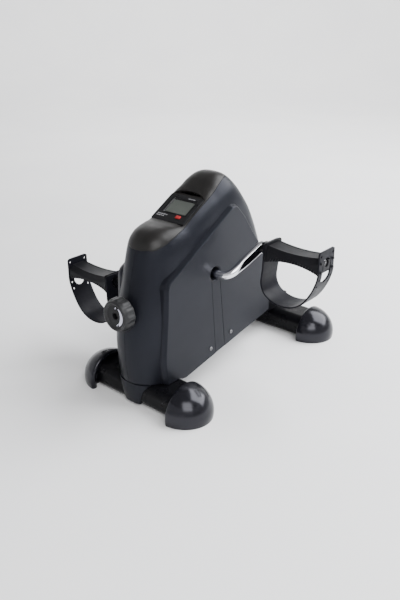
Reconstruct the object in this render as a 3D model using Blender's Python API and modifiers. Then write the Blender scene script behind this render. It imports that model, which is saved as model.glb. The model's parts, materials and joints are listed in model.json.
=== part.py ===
"""Pedal exerciser: a free-standing under-desk pedalling machine.

Frame: metres, +Z up.  X runs along the crank and -Y is the front with the knob.
The sizes below are measured from a line on the floor midway between the two
stabiliser tubes.  The finished model then moves back by CENTRE_SHIFT, which puts
the origin on the floor under the middle of the whole machine.
"""
import math

import bmesh
import bpy
from mathutils import Matrix, Vector

# ---------------------------------------------------------------- driving sizes
GAP = 0.0003             # clearance left between touching pieces
WALL = 0.0028            # thickness of the moulded shells
CENTRE_SHIFT = 0.0066    # the knob reaches further forward than the rear caps reach back

TUBE_Y = 0.1572          # stabiliser tubes lie at -TUBE_Y and +TUBE_Y
TUBE_HALF_Y = 0.0274
TUBE_HALF_Z = 0.0176
TUBE_Z = 0.0184
TUBE_ROUND = 0.0125
TUBE_WALL = 0.0016
TUBE_END_X = 0.0790
CAP_RIM_X = 0.0697       # where an end cap begins
CAP_LENGTH = 0.0432
CAP_RADIUS = 0.0396
CAP_CENTRE_Z = 0.0078

BODY_HALF = 0.0410       # half thickness of the body beside the raised panel
PANEL_HALF = 0.0470      # half thickness at the raised side panel
NOSE_CENTRE_Y = -0.1500  # where the rounded nose starts, at its lowest level
NOSE_LENGTH = 0.0450
SHELL_FOOT_Z = 0.0370    # lower edge of the nose, just above the front tube
SPLIT_Z = 0.2225         # level at which the console cover starts on the nose

HUB_Y = -0.0615          # crank axis
HUB_Z = 0.1690
CRANK_RADIUS = 0.0600
CRANK_ANGLE = math.radians(37.0)
ROD_RADIUS = 0.0058
BEND_X = 0.0690          # where the rod turns out of the axle line
ARM_X = 0.0890           # middle of the arm's flat end
ARM_THICK = 0.0068
ARM_EYE = 0.0072
HUB_HOLE = 0.0098

DRUM_RADIUS = 0.0500
DRUM_HALF = 0.0100
BAND_HALF = 0.0080
BAND_THICK = 0.0022
BAND_SLACK = 0.0028      # how far the loose band stands off the drum

PEDAL_IN_X = 0.1090
PEDAL_OUT_X = 0.1880
PEDAL_HALF_Y = 0.0175
PEDAL_TOP = 0.0090       # tread surface above the spindle, at the ends
PEDAL_BOTTOM = -0.0130
TREAD_DIP = 0.0036       # how far the tread sinks in the middle
ARCH_RISE = 0.0060       # how far the underside rises in the middle
SPINDLE_RADIUS = 0.0045
FLANGE = 0.0026
STRAP_THICK = 0.0022
STRAP_HALF_Y = 0.0190
STRAP_DROP = 0.0698      # lowest point of the strap loop under the spindle

KNOB_Z = 0.1430
KNOB_FACE_Y = -0.2100
KNOB_BACK_Y = -0.1920
KNOB_RADIUS = 0.0230
KNOB_LOBES = 12
SCREW_RADIUS = 0.0040    # M8 tension screw
SLIDE_Y = -0.1350        # middle of the tension carriage

DISPLAY_LOW = (-0.1081, 0.2467)
DISPLAY_HIGH = (-0.0645, 0.2707)
DISPLAY_HALF_X = 0.0284
DISPLAY_HALF_Y = 0.5 * math.hypot(DISPLAY_HIGH[0] - DISPLAY_LOW[0], DISPLAY_HIGH[1] - DISPLAY_LOW[1])
DISPLAY_DEPTH = 0.0090
LCD_HALF = (0.0180, 0.0118)          # half width and half height of the screen
LCD_AT = (0.0015, 0.0040)            # its middle, from the display's middle
BUTTON_HALF = (0.0038, 0.0025)
BUTTON_AT = (0.0132, -0.0148)

BEAM_HALF_X = 0.0150
BEAM_LOW_Z = 0.0364
BEAM_HIGH_Z = 0.0560
BEAM_END_Y = 0.1720
PLATE_THICK = 0.0030
BLOCK_OUT_X = 0.0330     # outer face of the bearing blocks
BOLT_RADIUS = 0.0040     # M8 bolts that hold the beam on the tubes
BOLT_HOLE = 0.0043
BOLT_HEAD = 0.0073       # across the corners of a 13 mm hexagon, halved
BOLT_HEAD_HIGH = 0.0050
SHELL_SCREWS = ((-0.0715, 0.0560), (-0.0250, 0.0655))    # (y, z) on each side

RIGHT = 1
LEFT = -1
SIDES = (("right", RIGHT), ("left", LEFT))


# ---------------------------------------------------------------- small helpers
def clear_scene():
    """Remove whatever the start-up file holds."""
    for obj in list(bpy.data.objects):
        bpy.data.objects.remove(obj, do_unlink=True)


def new_collection(name):
    collection = bpy.data.collections.new(name)
    bpy.context.scene.collection.children.link(collection)
    return collection


def material(name, colour, roughness, metallic=0.0):
    """Plain Principled material with one colour."""
    made = bpy.data.materials.new(name)
    made.use_nodes = True
    shader = made.node_tree.nodes["Principled BSDF"]
    shader.inputs["Base Color"].default_value = (*colour, 1.0)
    shader.inputs["Roughness"].default_value = roughness
    shader.inputs["Metallic"].default_value = metallic
    return made


def place(mesh, name, finish=None, cutter=False):
    """Turn a mesh into an object, either a sub-part or a hidden cutter."""
    obj = bpy.data.objects.new(name, mesh)
    if cutter:
        CUTTERS.objects.link(obj)
        obj.hide_render = True
        obj.display_type = "WIRE"
    else:
        PARTS.objects.link(obj)
    if finish is not None:
        mesh.materials.append(finish)
    return obj


def smooth_round(mesh, angle=35.0):
    mesh.shade_smooth()
    mesh.set_sharp_from_angle(angle=math.radians(angle))


AXES = {
    "X": Matrix(((0, 0, 1, 0), (1, 0, 0, 0), (0, 1, 0, 0), (0, 0, 0, 1))),
    "Y": Matrix(((1, 0, 0, 0), (0, 0, -1, 0), (0, 1, 0, 0), (0, 0, 0, 1))),
    "Z": Matrix.Identity(4),
}


def outline_mesh(outline, axis, low, high):
    """Extrude a flat outline along X, Y or Z, from low to high.

    The outline is (y, z) pairs for X, (x, z) for Y and (x, y) for Z.
    """
    curve = bpy.data.curves.new("outline", "CURVE")
    curve.dimensions = "2D"
    curve.fill_mode = "BOTH"
    curve.extrude = (high - low) / 2
    spline = curve.splines.new("POLY")
    spline.points.add(len(outline) - 1)
    for point, (a, b) in zip(spline.points, outline):
        point.co = (a, b, 0.0, 1.0)
    spline.use_cyclic_u = True
    return curve_to_mesh(curve, AXES[axis], (low + high) / 2, axis)


def curve_to_mesh(curve, turn=None, shift=0.0, axis="Z"):
    """Mesh of a curve with its caps welded on; the curve is removed."""
    holder = bpy.data.objects.new("outline", curve)
    bpy.context.scene.collection.objects.link(holder)
    view = bpy.context.evaluated_depsgraph_get()
    mesh = bpy.data.meshes.new_from_object(holder.evaluated_get(view))
    bpy.data.objects.remove(holder)
    bpy.data.curves.remove(curve)
    if turn is not None:
        mesh.transform(turn)
        mesh.transform(Matrix.Translation(shift * axis_vector(axis)))
    body = bmesh.new()
    body.from_mesh(mesh)
    bmesh.ops.remove_doubles(body, verts=body.verts, dist=0.00001)
    bmesh.ops.recalc_face_normals(body, faces=body.faces)
    body.to_mesh(mesh)
    body.free()
    return mesh


def axis_vector(axis):
    return Vector([1.0 if letter == axis else 0.0 for letter in "XYZ"])


def prism(name, outline, axis, low, high, finish=None, cutter=False):
    """Object of an extruded outline."""
    mesh = outline_mesh(outline, axis, min(low, high), max(low, high))
    return place(mesh, name, finish, cutter)


def box(name, low, high, finish=None, cutter=False):
    """Object of an axis-aligned box between two corners."""
    low = Vector(low)
    high = Vector(high)
    body = bmesh.new()
    bmesh.ops.create_cube(body, size=1.0)
    size = Vector([abs(high[i] - low[i]) for i in range(3)])
    bmesh.ops.scale(body, vec=size, verts=body.verts)
    bmesh.ops.translate(body, vec=(low + high) / 2, verts=body.verts)
    mesh = bpy.data.meshes.new(name)
    body.to_mesh(mesh)
    body.free()
    return place(mesh, name, finish, cutter)


def rod(name, radius, axis, low, high, centre, finish=None, cutter=False, sides=24, tip=None):
    """Cylinder or cone along an axis; centre holds the other two coordinates."""
    body = bmesh.new()
    end_radius = radius if tip is None else tip
    bmesh.ops.create_cone(body, cap_ends=True, segments=sides, radius1=radius,
                          radius2=end_radius, depth=abs(high - low))
    mesh = bpy.data.meshes.new(name)
    body.to_mesh(mesh)
    body.free()
    mesh.transform(AXES[axis])
    middle = (low + high) / 2
    if axis == "X":
        spot = Vector((middle, centre[0], centre[1]))
    elif axis == "Y":
        spot = Vector((centre[0], middle, centre[1]))
    else:
        spot = Vector((centre[0], centre[1], middle))
    mesh.transform(Matrix.Translation(spot))
    smooth_round(mesh)
    return place(mesh, name, finish, cutter)


def combine(target, tool, operation):
    """Boolean modifier; the tool stays in the cutters' collection."""
    step = target.modifiers.new(operation.lower(), "BOOLEAN")
    step.operation = operation
    step.solver = "EXACT"
    step.object = tool


def cut(target, tool):
    combine(target, tool, "DIFFERENCE")


def join(target, tool):
    combine(target, tool, "UNION")


def keep_inside(target, tool):
    combine(target, tool, "INTERSECT")


def chamfer(obj, width, segments=1, angle=40.0):
    """Bevel every edge sharper than the angle."""
    step = obj.modifiers.new("rounded_edges", "BEVEL")
    step.width = width
    step.segments = segments
    step.limit_method = "ANGLE"
    step.angle_limit = math.radians(angle)


# ---------------------------------------------------------------- outline tools
def arc(centre, radius, start, end, steps, stretch=1.0):
    """Points on an arc, angles in degrees; stretch scales the second axis."""
    points = []
    for i in range(steps + 1):
        angle = math.radians(start + (end - start) * i / steps)
        points.append((centre[0] + radius * math.cos(angle),
                       centre[1] + stretch * radius * math.sin(angle)))
    return points


def rounded_box(half_a, half_b, radius, centre=(0.0, 0.0), steps=5):
    """Outline of a rectangle with round corners."""
    points = []
    for quarter, (sign_a, sign_b) in enumerate(((1, 1), (-1, 1), (-1, -1), (1, -1))):
        middle = (centre[0] + sign_a * (half_a - radius), centre[1] + sign_b * (half_b - radius))
        points += arc(middle, radius, 90 * quarter, 90 * quarter + 90, steps)
    return points


def smooth_path(knots, steps):
    """Catmull-Rom curve through the knots."""
    ends = [knots[0]] + list(knots) + [knots[-1]]
    points = [tuple(knots[0])]
    for i in range(len(knots) - 1):
        p0, p1, p2, p3 = (Vector(p) for p in ends[i:i + 4])
        for k in range(1, steps + 1):
            t = k / steps
            spot = 0.5 * (2 * p1 + (p2 - p0) * t + (2 * p0 - 5 * p1 + 4 * p2 - p3) * t * t
                          + (3 * p1 - p0 - 3 * p2 + p3) * t ** 3)
            points.append(tuple(spot))
    return points


def inset_outline(outline, distance):
    """Move every side of a closed outline inward; the outline runs clockwise."""
    count = len(outline)
    moved = []
    for i in range(count):
        before = Vector(outline[i]) - Vector(outline[i - 1])
        after = Vector(outline[(i + 1) % count]) - Vector(outline[i])
        side_a = Vector((before.y, -before.x)).normalized()
        side_b = Vector((after.y, -after.x)).normalized()
        middle = (side_a + side_b).normalized()
        moved.append(tuple(Vector(outline[i]) + middle * distance / max(0.4, middle.dot(side_a))))
    return moved


# ---------------------------------------------------------------- body outlines
FRONT_SLOPE = math.atan2(DISPLAY_HIGH[1] - DISPLAY_LOW[1], DISPLAY_HIGH[0] - DISPLAY_LOW[0])


def side_outline():
    """Top, rear and bottom of the body seen from the side, as (y, z), clockwise.

    Its front reaches past the nose, which the nose sections shape.
    """
    top = [(-0.1660, 0.2180), (-0.1565, 0.2310), (-0.1420, 0.2395), (-0.1260, 0.2435),
           (-0.1100, 0.2475), (-0.0600, 0.2745)]
    crest = [(-0.0600, 0.2745), (-0.0400, 0.2860), (-0.0220, 0.2935), (-0.0085, 0.2900),
             (0.0050, 0.2735)]
    rear = [(0.0050, 0.2735), (0.0275, 0.2390), (0.0550, 0.1860), (0.0765, 0.1270),
            (0.0850, 0.0850)]
    foot = arc((0.0770, 0.0760), 0.0080, 0, -80, 3)
    bottom = [(-0.1290, 0.0322), (-0.1400, SHELL_FOOT_Z), (-0.2300, SHELL_FOOT_Z), (-0.2300, 0.2180)]
    return (top[:-1] + smooth_path(crest, 3)[:-1] + smooth_path(rear, 3) + foot + bottom)


def mirrored(half, inset):
    """Outline from its right half, both sides moved inward by the inset."""
    right = [(x - inset, height) for x, height in half]
    return list(reversed(right)) + [(-x, height) for x, height in right]


def slope_outline(inset):
    """Width of the body against height over the display's slope, as (x, height)."""
    return mirrored([(BODY_HALF, -0.3000), (BODY_HALF, -0.0500), (0.0400, -0.0320), (0.0380, -0.0180),
                     (0.0345, -0.0070), (0.0305, 0.0015), (0.0270, 0.0200)], inset)


def crest_outline(inset):
    """Width of the body against height at the crest, as (x, z)."""
    return mirrored([(0.0500, 0.0000), (0.0500, 0.2400), (0.0330, 0.2680), (0.0280, 0.2815),
                     (0.0205, 0.2900), (0.0110, 0.2935), (0.0060, 0.3000)], inset)


def nose_shift(z):
    """How far the nose leans back at a height."""
    bow = 0.0070 * max(0.0, (0.0900 - z) / 0.0530) ** 2
    lean = 0.0330 * max(0.0, (z - 0.0900) / 0.1325) ** 1.45
    return bow + lean


def nose_section(z, inset):
    """Plan of the body at one height: a half ellipse in front of straight sides."""
    half = BODY_HALF - inset + 0.0005
    front = NOSE_CENTRE_Y + nose_shift(z)
    points = arc((0.0, front), half, 180, 360, 16, (NOSE_LENGTH - inset) / half)
    return [(half, 0.1200)] + list(reversed(points)) + [(-half, 0.1200)]


def loft(name, sections):
    """Skin closed sections of equal length, bottom to top, and cap both ends."""
    body = bmesh.new()
    rings = [[body.verts.new(point) for point in ring] for ring in sections]
    count = len(rings[0])
    for lower, upper in zip(rings, rings[1:]):
        for i in range(count):
            j = (i + 1) % count
            body.faces.new((lower[i], lower[j], upper[j], upper[i]))
    body.faces.new(rings[0])
    body.faces.new(list(reversed(rings[-1])))
    bmesh.ops.recalc_face_normals(body, faces=body.faces)
    mesh = bpy.data.meshes.new(name)
    body.to_mesh(mesh)
    body.free()
    return mesh


def body_volume(name, inset=0.0, finish=None, cutter=True):
    """The whole body as one solid, its surface moved inward by the inset."""
    levels = [0.0200, 0.0450, 0.0700, 0.0950, 0.1200, 0.1450, 0.1700, 0.1950, 0.2225, 0.3100]
    sections = [[(x, y, z) for x, y in nose_section(z, inset)] for z in levels]
    volume = place(loft(name, sections), name, finish, cutter)
    side = inset_outline(side_outline(), inset) if inset else side_outline()
    keep_inside(volume, prism(name + "_side", side, "X", -0.0600, 0.0600, cutter=True))
    slope = prism(name + "_slope", slope_outline(inset), "Y", -0.3000, 0.3000, cutter=True)
    slope.data.transform(display_frame())
    keep_inside(volume, slope)
    keep_inside(volume, prism(name + "_crest", crest_outline(inset), "Y", -0.3000, 0.1500, cutter=True))
    return volume


def panel_outline(inset=0.0):
    """Edge of the raised side panel, as (y, z), clockwise."""
    front = [(-0.1390, 0.0360), (-0.1560, 0.0500), (-0.1640, 0.0700), (-0.1610, 0.1100),
             (-0.1565, 0.1740)]
    top = [(-0.1530, 0.1815), (-0.0240, 0.2535)]
    corner = arc((-0.0180, 0.2440), 0.0110, 120, 40, 3)
    rear = [(0.0220, 0.2160), (0.0470, 0.1830), (0.0650, 0.1370), (0.0740, 0.0950), (0.0755, 0.0700)]
    outline = front + top + corner + rear
    return inset_outline(outline, inset) if inset else outline


def lid_outline(grow=0.0):
    """Region that belongs to the console cover, as (y, z)."""
    floor_line = [(-0.2400, SPLIT_Z), (-0.1480, SPLIT_Z), (-0.1400, 0.2340), (-0.1080, 0.2410),
                  (-0.0580, 0.2680), (-0.0300, 0.2835), (-0.0060, 0.2800)]
    return [(y, z - grow) for y, z in floor_line] + [(0.0040, 0.3300), (-0.2400, 0.3300)]


def slot_outline(inset=0.0):
    """Assembly slot from the crank hole to the bottom edge, as (y, z)."""
    top_z = HUB_Z - 0.0020
    half = 0.0092 - inset
    return [(HUB_Y - half, top_z), (HUB_Y + half, top_z),
            (HUB_Y + 0.0115 + half, 0.0300), (HUB_Y + 0.0115 - half, 0.0300)]


# ---------------------------------------------------------------- the housing
def shell(name, side):
    """One moulded half of the body, hollow, with its raised side panel."""
    half = body_volume(name, 0.0, BLACK_PLASTIC, cutter=False)
    panel = prism(name + "_panel", panel_outline(), "X", side * 0.0300, side * PANEL_HALF, cutter=True)
    chamfer(panel, 0.0030)
    panel_keep = prism(name + "_panel_keep", side_outline(), "X", -0.0700, 0.0700, cutter=True)
    keep_inside(panel, panel_keep)
    join(half, panel)
    cavity = body_volume(name + "_cavity", WALL)
    pocket = prism(name + "_pocket", panel_outline(0.0060), "X", side * 0.0200,
                   side * (PANEL_HALF - WALL), cutter=True)
    pocket_keep = prism(name + "_pocket_keep", inset_outline(side_outline(), WALL), "X",
                        -0.0700, 0.0700, cutter=True)
    keep_inside(pocket, pocket_keep)
    join(cavity, pocket)
    cut(half, cavity)
    other = box(name + "_other_side", (side * 0.00015, -0.3, -0.1), (side * -0.1, 0.2, 0.4), cutter=True)
    cut(half, other)
    cut(half, prism(name + "_lid", lid_outline(GAP), "X", -0.0600, 0.0600, cutter=True))
    cut(half, prism(name + "_slot", slot_outline(), "X", side * 0.0420, side * 0.0600, cutter=True))
    cut(half, rod(name + "_crank_hole", HUB_HOLE, "X", side * 0.0300, side * 0.0600,
                  (HUB_Y, HUB_Z), cutter=True, sides=24))
    cut(half, rod(name + "_knob_hole", 0.0062, "Y", -0.2300, -0.1600, (0.0, KNOB_Z), cutter=True))
    cut(half, box(name + "_beam_way", (-0.0195, -0.1730, 0.0200), (0.0195, 0.0300, 0.0620), cutter=True))
    for y, z in SHELL_SCREWS:
        cut(half, rod(name + "_screw_hole", 0.0025, "X", side * 0.0300, side * 0.0600, (y, z),
                      cutter=True, sides=12))
    return half


def slot_cover(name, side):
    """Strip that closes the assembly slot under the crank hole."""
    outer = side * (PANEL_HALF - 0.0002)
    strip = prism(name, slot_outline(GAP), "X", side * (PANEL_HALF - WALL + 0.0002), outer, BLACK_PLASTIC)
    keep_inside(strip, prism(name + "_keep", side_outline(), "X", -0.0700, 0.0700, cutter=True))
    cut(strip, rod(name + "_crank_hole", HUB_HOLE + GAP, "X", side * 0.0300, side * 0.0600,
                   (HUB_Y, HUB_Z), cutter=True, sides=24))
    return strip


def console_cover():
    """Top strip that bridges both shells and carries the monitor."""
    cover = body_volume("console_cover", 0.0, BLACK_PLASTIC, cutter=False)
    keep_inside(cover, prism("cover_lid", lid_outline(), "X", -0.0600, 0.0600, cutter=True))
    cut(cover, body_volume("cover_cavity", WALL))
    cut(cover, monitor_block("cover_window", GAP, 0.0300, 0.0100))
    return cover


def display_frame():
    """Matrix with x across, y up the slope and z out of the display's face."""
    base = Vector((0.0, (DISPLAY_LOW[0] + DISPLAY_HIGH[0]) / 2, (DISPLAY_LOW[1] + DISPLAY_HIGH[1]) / 2))
    return Matrix.Translation(base) @ Matrix.Rotation(FRONT_SLOPE, 4, "X")


def tilted_box(name, half_x, low_y, high_y, low_z, high_z, finish=None, cutter=False, shift_x=0.0):
    """Box in the display's own frame."""
    obj = box(name, (shift_x - half_x, low_y, low_z), (shift_x + half_x, high_y, high_z), finish, cutter)
    obj.data.transform(display_frame())
    return obj


def monitor_block(name, grow, below, above):
    """Cutter for the window that the monitor sits in."""
    return tilted_box(name, DISPLAY_HALF_X + grow, -DISPLAY_HALF_Y - grow, DISPLAY_HALF_Y + grow,
                      -below, above, cutter=True)


def monitor():
    """Monitor case, its screen, circuit board, cell and reset button."""
    case = tilted_box("monitor_case", DISPLAY_HALF_X, -DISPLAY_HALF_Y, DISPLAY_HALF_Y,
                      -DISPLAY_DEPTH, 0.0, MONITOR_BLACK)
    window = tilted_box("lcd_pocket", LCD_HALF[0] + GAP, LCD_AT[1] - LCD_HALF[1] - GAP,
                        LCD_AT[1] + LCD_HALF[1] + GAP, -0.0020, 0.01, cutter=True, shift_x=LCD_AT[0])
    hollow = tilted_box("case_hollow", DISPLAY_HALF_X - 0.002, -DISPLAY_HALF_Y + 0.002,
                        DISPLAY_HALF_Y - 0.002, -0.02, -0.0035, cutter=True)
    button_way = tilted_box("button_way", BUTTON_HALF[0] + GAP, BUTTON_AT[1] - BUTTON_HALF[1] - GAP,
                            BUTTON_AT[1] + BUTTON_HALF[1] + GAP, -0.02, 0.01, cutter=True,
                            shift_x=BUTTON_AT[0])
    for tool in (window, hollow, button_way):
        cut(case, tool)
    tilted_box("lcd_panel", LCD_HALF[0], LCD_AT[1] - LCD_HALF[1], LCD_AT[1] + LCD_HALF[1],
               -0.0020 + GAP, -0.0006, LCD_GREEN, shift_x=LCD_AT[0])
    tilted_box("monitor_board", DISPLAY_HALF_X - 0.0030, -DISPLAY_HALF_Y + 0.003, DISPLAY_HALF_Y - 0.003,
               -0.0082, -0.0066, BOARD_GREEN)
    cell = rod("button_cell", 0.0090, "Z", -0.0118, -0.0086, (-0.0120, 0.0080), STEEL)
    cell.data.transform(display_frame())
    button = tilted_box("reset_button", BUTTON_HALF[0], BUTTON_AT[1] - BUTTON_HALF[1],
                        BUTTON_AT[1] + BUTTON_HALF[1], -0.0050, 0.0012, BUTTON_RED, shift_x=BUTTON_AT[0])
    hang_on(button, empty_at("button_axis", display_frame() @ Vector((*BUTTON_AT, 0.0))))


# ---------------------------------------------------------------- the base
def stabiliser(name, side_y):
    """Flat oval steel tube across the machine, open at both ends."""
    centre = (side_y * TUBE_Y, TUBE_Z)
    tube = prism(name, rounded_box(TUBE_HALF_Y, TUBE_HALF_Z, TUBE_ROUND, centre), "X",
                 -TUBE_END_X, TUBE_END_X, BLACK_PAINT)
    bore = rounded_box(TUBE_HALF_Y - TUBE_WALL, TUBE_HALF_Z - TUBE_WALL, TUBE_ROUND - TUBE_WALL, centre)
    cut(tube, prism(name + "_bore", bore, "X", -0.2, 0.2, cutter=True))
    for z in (0.0, 0.0500):
        cut(tube, rod(name + "_bolt_hole", BOLT_HOLE if z else BOLT_HEAD + 0.0010, "Z", z - 0.02, z + 0.02,
                      (0.0, centre[0]), cutter=True, sides=16))
    return tube


def end_cap(name, side_x, side_y):
    """Domed plastic foot over a tube end, flat where it stands on the floor."""
    ball = bmesh.new()
    bmesh.ops.create_uvsphere(ball, u_segments=28, v_segments=14, radius=1.0)
    mesh = bpy.data.meshes.new(name)
    ball.to_mesh(mesh)
    ball.free()
    mesh.transform(Matrix.Diagonal((CAP_LENGTH, CAP_RADIUS, CAP_RADIUS, 1.0)))
    mesh.transform(Matrix.Translation((side_x * CAP_RIM_X, side_y * TUBE_Y, CAP_CENTRE_Z)))
    smooth_round(mesh)
    cap = place(mesh, name, CAP_BLACK)
    cut(cap, box(name + "_floor", (-0.3, -0.3, -0.1), (0.3, 0.3, 0.0), cutter=True))
    rim = side_x * CAP_RIM_X
    cut(cap, box(name + "_inboard", (rim, -0.3, -0.2), (side_x * -0.3, 0.3, 0.3), cutter=True))
    socket = rounded_box(TUBE_HALF_Y + GAP, TUBE_HALF_Z + GAP, TUBE_ROUND, (side_y * TUBE_Y, TUBE_Z))
    cut(cap, prism(name + "_socket", socket, "X", side_x * 0.03, side_x * (TUBE_END_X + GAP), cutter=True))
    return cap


def foot_cover():
    """Tongue under the nose that laps over the front of the front tube."""
    levels = [0.0040, 0.0150, 0.0260, SHELL_FOOT_Z - GAP]
    sections = []
    for z in levels:
        half = 0.0100 + 0.0160 * ((z - 0.0040) / 0.0330) ** 1.6
        front = -0.1905 + 0.0030 * ((SHELL_FOOT_Z - z) / 0.0330) ** 2
        ring = [(half * math.sin(math.radians(a)), front + 0.0030 * (1 - math.cos(math.radians(a))), z)
                for a in range(-90, 91, 15)]
        sections.append(ring + [(half, -0.1650, z), (-half, -0.1650, z)])
    cover = place(loft("foot_cover", sections), "foot_cover", BLACK_PLASTIC)
    clear = rounded_box(TUBE_HALF_Y + GAP, TUBE_HALF_Z + GAP, TUBE_ROUND, (-TUBE_Y, TUBE_Z))
    cut(cover, prism("foot_cover_tube", clear, "X", -0.1, 0.1, cutter=True))
    behind = box("foot_cover_behind", (-0.1, -0.1765, -0.01), (0.1, -0.1, 0.1), cutter=True)
    cut(cover, behind)
    return cover


def upright_outline():
    """Side plate that carries a bearing block, as (y, z)."""
    return [(HUB_Y - 0.0520, BEAM_LOW_Z + 0.0020), (HUB_Y - 0.0200, HUB_Z - 0.0330),
            (HUB_Y - 0.0200, HUB_Z - 0.0120), (HUB_Y + 0.0200, HUB_Z - 0.0120),
            (HUB_Y + 0.0200, HUB_Z - 0.0330), (HUB_Y + 0.0520, BEAM_LOW_Z + 0.0020)]


def main_frame():
    """Welded steel chassis: base beam, two uprights and the front post."""
    frame = box("main_frame", (-BEAM_HALF_X, -BEAM_END_Y, BEAM_LOW_Z), (BEAM_HALF_X, BEAM_END_Y, BEAM_HIGH_Z),
                BLACK_PAINT)
    inner = BEAM_HALF_X - 0.0010
    for name, side in SIDES:
        plate = prism("upright_" + name, upright_outline(), "X", side * inner,
                      side * (BEAM_HALF_X + PLATE_THICK), cutter=True)
        join(frame, plate)
    post = box("front_post", (-0.0120, -BEAM_END_Y, BEAM_HIGH_Z - 0.0020),
               (0.0120, -BEAM_END_Y + 0.0040, KNOB_Z + 0.0160), cutter=True)
    cut(post, rod("post_hole", SCREW_RADIUS + GAP, "Y", -0.2, -0.1, (0.0, KNOB_Z), cutter=True, sides=16))
    join(frame, post)
    for side_y in (-TUBE_Y, TUBE_Y):
        cut(frame, rod("beam_bolt_hole", BOLT_HOLE, "Z", 0.0, 0.1, (0.0, side_y), cutter=True, sides=16))
    return frame


def tube_bolt(name, side_y):
    """Hexagon bolt down through the beam into a stabiliser tube, and its nut inside the tube."""
    bolt = rod(name, BOLT_HEAD, "Z", BEAM_HIGH_Z + GAP, BEAM_HIGH_Z + GAP + BOLT_HEAD_HIGH, (0.0, side_y),
               STEEL, sides=6)
    tube_inside = TUBE_Z + TUBE_HALF_Z - TUBE_WALL
    join(bolt, rod(name + "_shank", BOLT_RADIUS, "Z", tube_inside - 0.0120, BEAM_HIGH_Z + 0.0020,
                   (0.0, side_y), cutter=True, sides=16))
    nut = rod(name.replace("bolt", "nut"), BOLT_HEAD, "Z", tube_inside - GAP - 0.0065, tube_inside - GAP,
              (0.0, side_y), STEEL, sides=6)
    cut(nut, rod(name + "_thread", BOLT_RADIUS + GAP, "Z", 0.0, 0.1, (0.0, side_y), cutter=True, sides=16))


def bearing_half(name, side, upper):
    """Half of a split nylon bearing block around the crank's rod."""
    low_x = side * (BEAM_HALF_X + PLATE_THICK + GAP)
    if upper:
        low_z, high_z = HUB_Z + 0.00015, HUB_Z + 0.0130
    else:
        low_z, high_z = HUB_Z - 0.0280, HUB_Z - 0.00015
    block = box(name, (low_x, HUB_Y - 0.0160, low_z), (side * BLOCK_OUT_X, HUB_Y + 0.0160, high_z), NYLON)
    cut(block, rod(name + "_bore", ROD_RADIUS + GAP, "X", side * 0.01, side * 0.05, (HUB_Y, HUB_Z),
                   cutter=True))
    return block


# ---------------------------------------------------------------- the crank
def spindle_at(side):
    """Pedal spindle position (y, z); the two cranks point opposite ways."""
    return (HUB_Y + side * CRANK_RADIUS * math.cos(CRANK_ANGLE),
            HUB_Z + side * CRANK_RADIUS * math.sin(CRANK_ANGLE))


def crank_path():
    """Centre line of the round rod, left elbow to right elbow."""
    half = [Vector((0.0, HUB_Y, HUB_Z)), Vector((0.0330, HUB_Y, HUB_Z)), Vector((0.0560, HUB_Y, HUB_Z))]
    y, z = spindle_at(RIGHT)
    bend = Vector((BEND_X, HUB_Y, HUB_Z))
    along = (Vector((ARM_X, y, z)) - bend).normalized()
    start = Vector((0.0560, HUB_Y, HUB_Z))
    end = bend + along * 0.0120
    for k in range(1, 6):
        t = k / 5
        half.append(start * (1 - t) ** 2 + bend * 2 * t * (1 - t) + end * t * t)
    turned = [Vector((-p.x, 2 * HUB_Y - p.y, 2 * HUB_Z - p.z)) for p in half[1:]]
    return list(reversed(turned)) + half


def tube_along(name, points, radius, finish=None, cutter=False, resolution=3):
    """Round bar or wire along a line of points."""
    curve = bpy.data.curves.new(name, "CURVE")
    curve.dimensions = "3D"
    curve.bevel_depth = radius
    curve.bevel_resolution = resolution
    curve.use_fill_caps = True
    spline = curve.splines.new("POLY")
    spline.points.add(len(points) - 1)
    for point, spot in zip(spline.points, points):
        point.co = (*spot, 1.0)
    mesh = curve_to_mesh(curve)
    smooth_round(mesh)
    return place(mesh, name, finish, cutter)


def crank_arm(name, side):
    """Flattened end of the rod with the spindle's eye."""
    y, z = spindle_at(side)
    bend = Vector((side * BEND_X, HUB_Y, HUB_Z))
    eye = Vector((side * ARM_X, y, z))
    along = eye - bend
    length = along.length
    flat = arc((length, 0.0), ARM_EYE, -90, 90, 8) + [(0.0060, 0.0052), (0.0060, -0.0052)]
    mesh = outline_mesh(flat, "Z", -ARM_THICK / 2, ARM_THICK / 2)
    along.normalize()
    across = Vector((side, 0.0, 0.0)).cross(along).normalized()
    out = along.cross(across)
    turn = Matrix((along, across, out)).transposed().to_4x4()
    mesh.transform(Matrix.Translation(bend) @ turn)
    return place(mesh, name, cutter=True)


def crankshaft():
    """One bent steel rod: axle, both elbows and both flattened arms."""
    shaft = tube_along("crankshaft", crank_path(), ROD_RADIUS, CHROME)
    for name, side in SIDES:
        join(shaft, crank_arm("arm_" + name, side))
    for name, side in SIDES:
        cut(shaft, rod("eye_" + name, SPINDLE_RADIUS + GAP, "X", side * 0.07, side * 0.11,
                       spindle_at(side), cutter=True, sides=16))
    return shaft


def friction_drum():
    """Steel drum fixed on the crank's rod; the band drags on its rim."""
    drum = rod("friction_drum", DRUM_RADIUS, "X", -DRUM_HALF, DRUM_HALF, (HUB_Y, HUB_Z), STEEL, sides=48)
    cut(drum, rod("drum_bore", ROD_RADIUS + GAP, "X", -0.1, 0.1, (HUB_Y, HUB_Z), cutter=True))
    for name, side in SIDES:
        dish = rod("drum_dish_" + name, DRUM_RADIUS - 0.0060, "X", side * 0.0030, side * 0.0200,
                   (HUB_Y, HUB_Z), cutter=True, sides=48)
        cut(dish, rod("drum_boss_" + name, 0.0120, "X", side * 0.0020, side * 0.0300, (HUB_Y, HUB_Z),
                      cutter=True))
        cut(drum, dish)
    return drum


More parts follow.
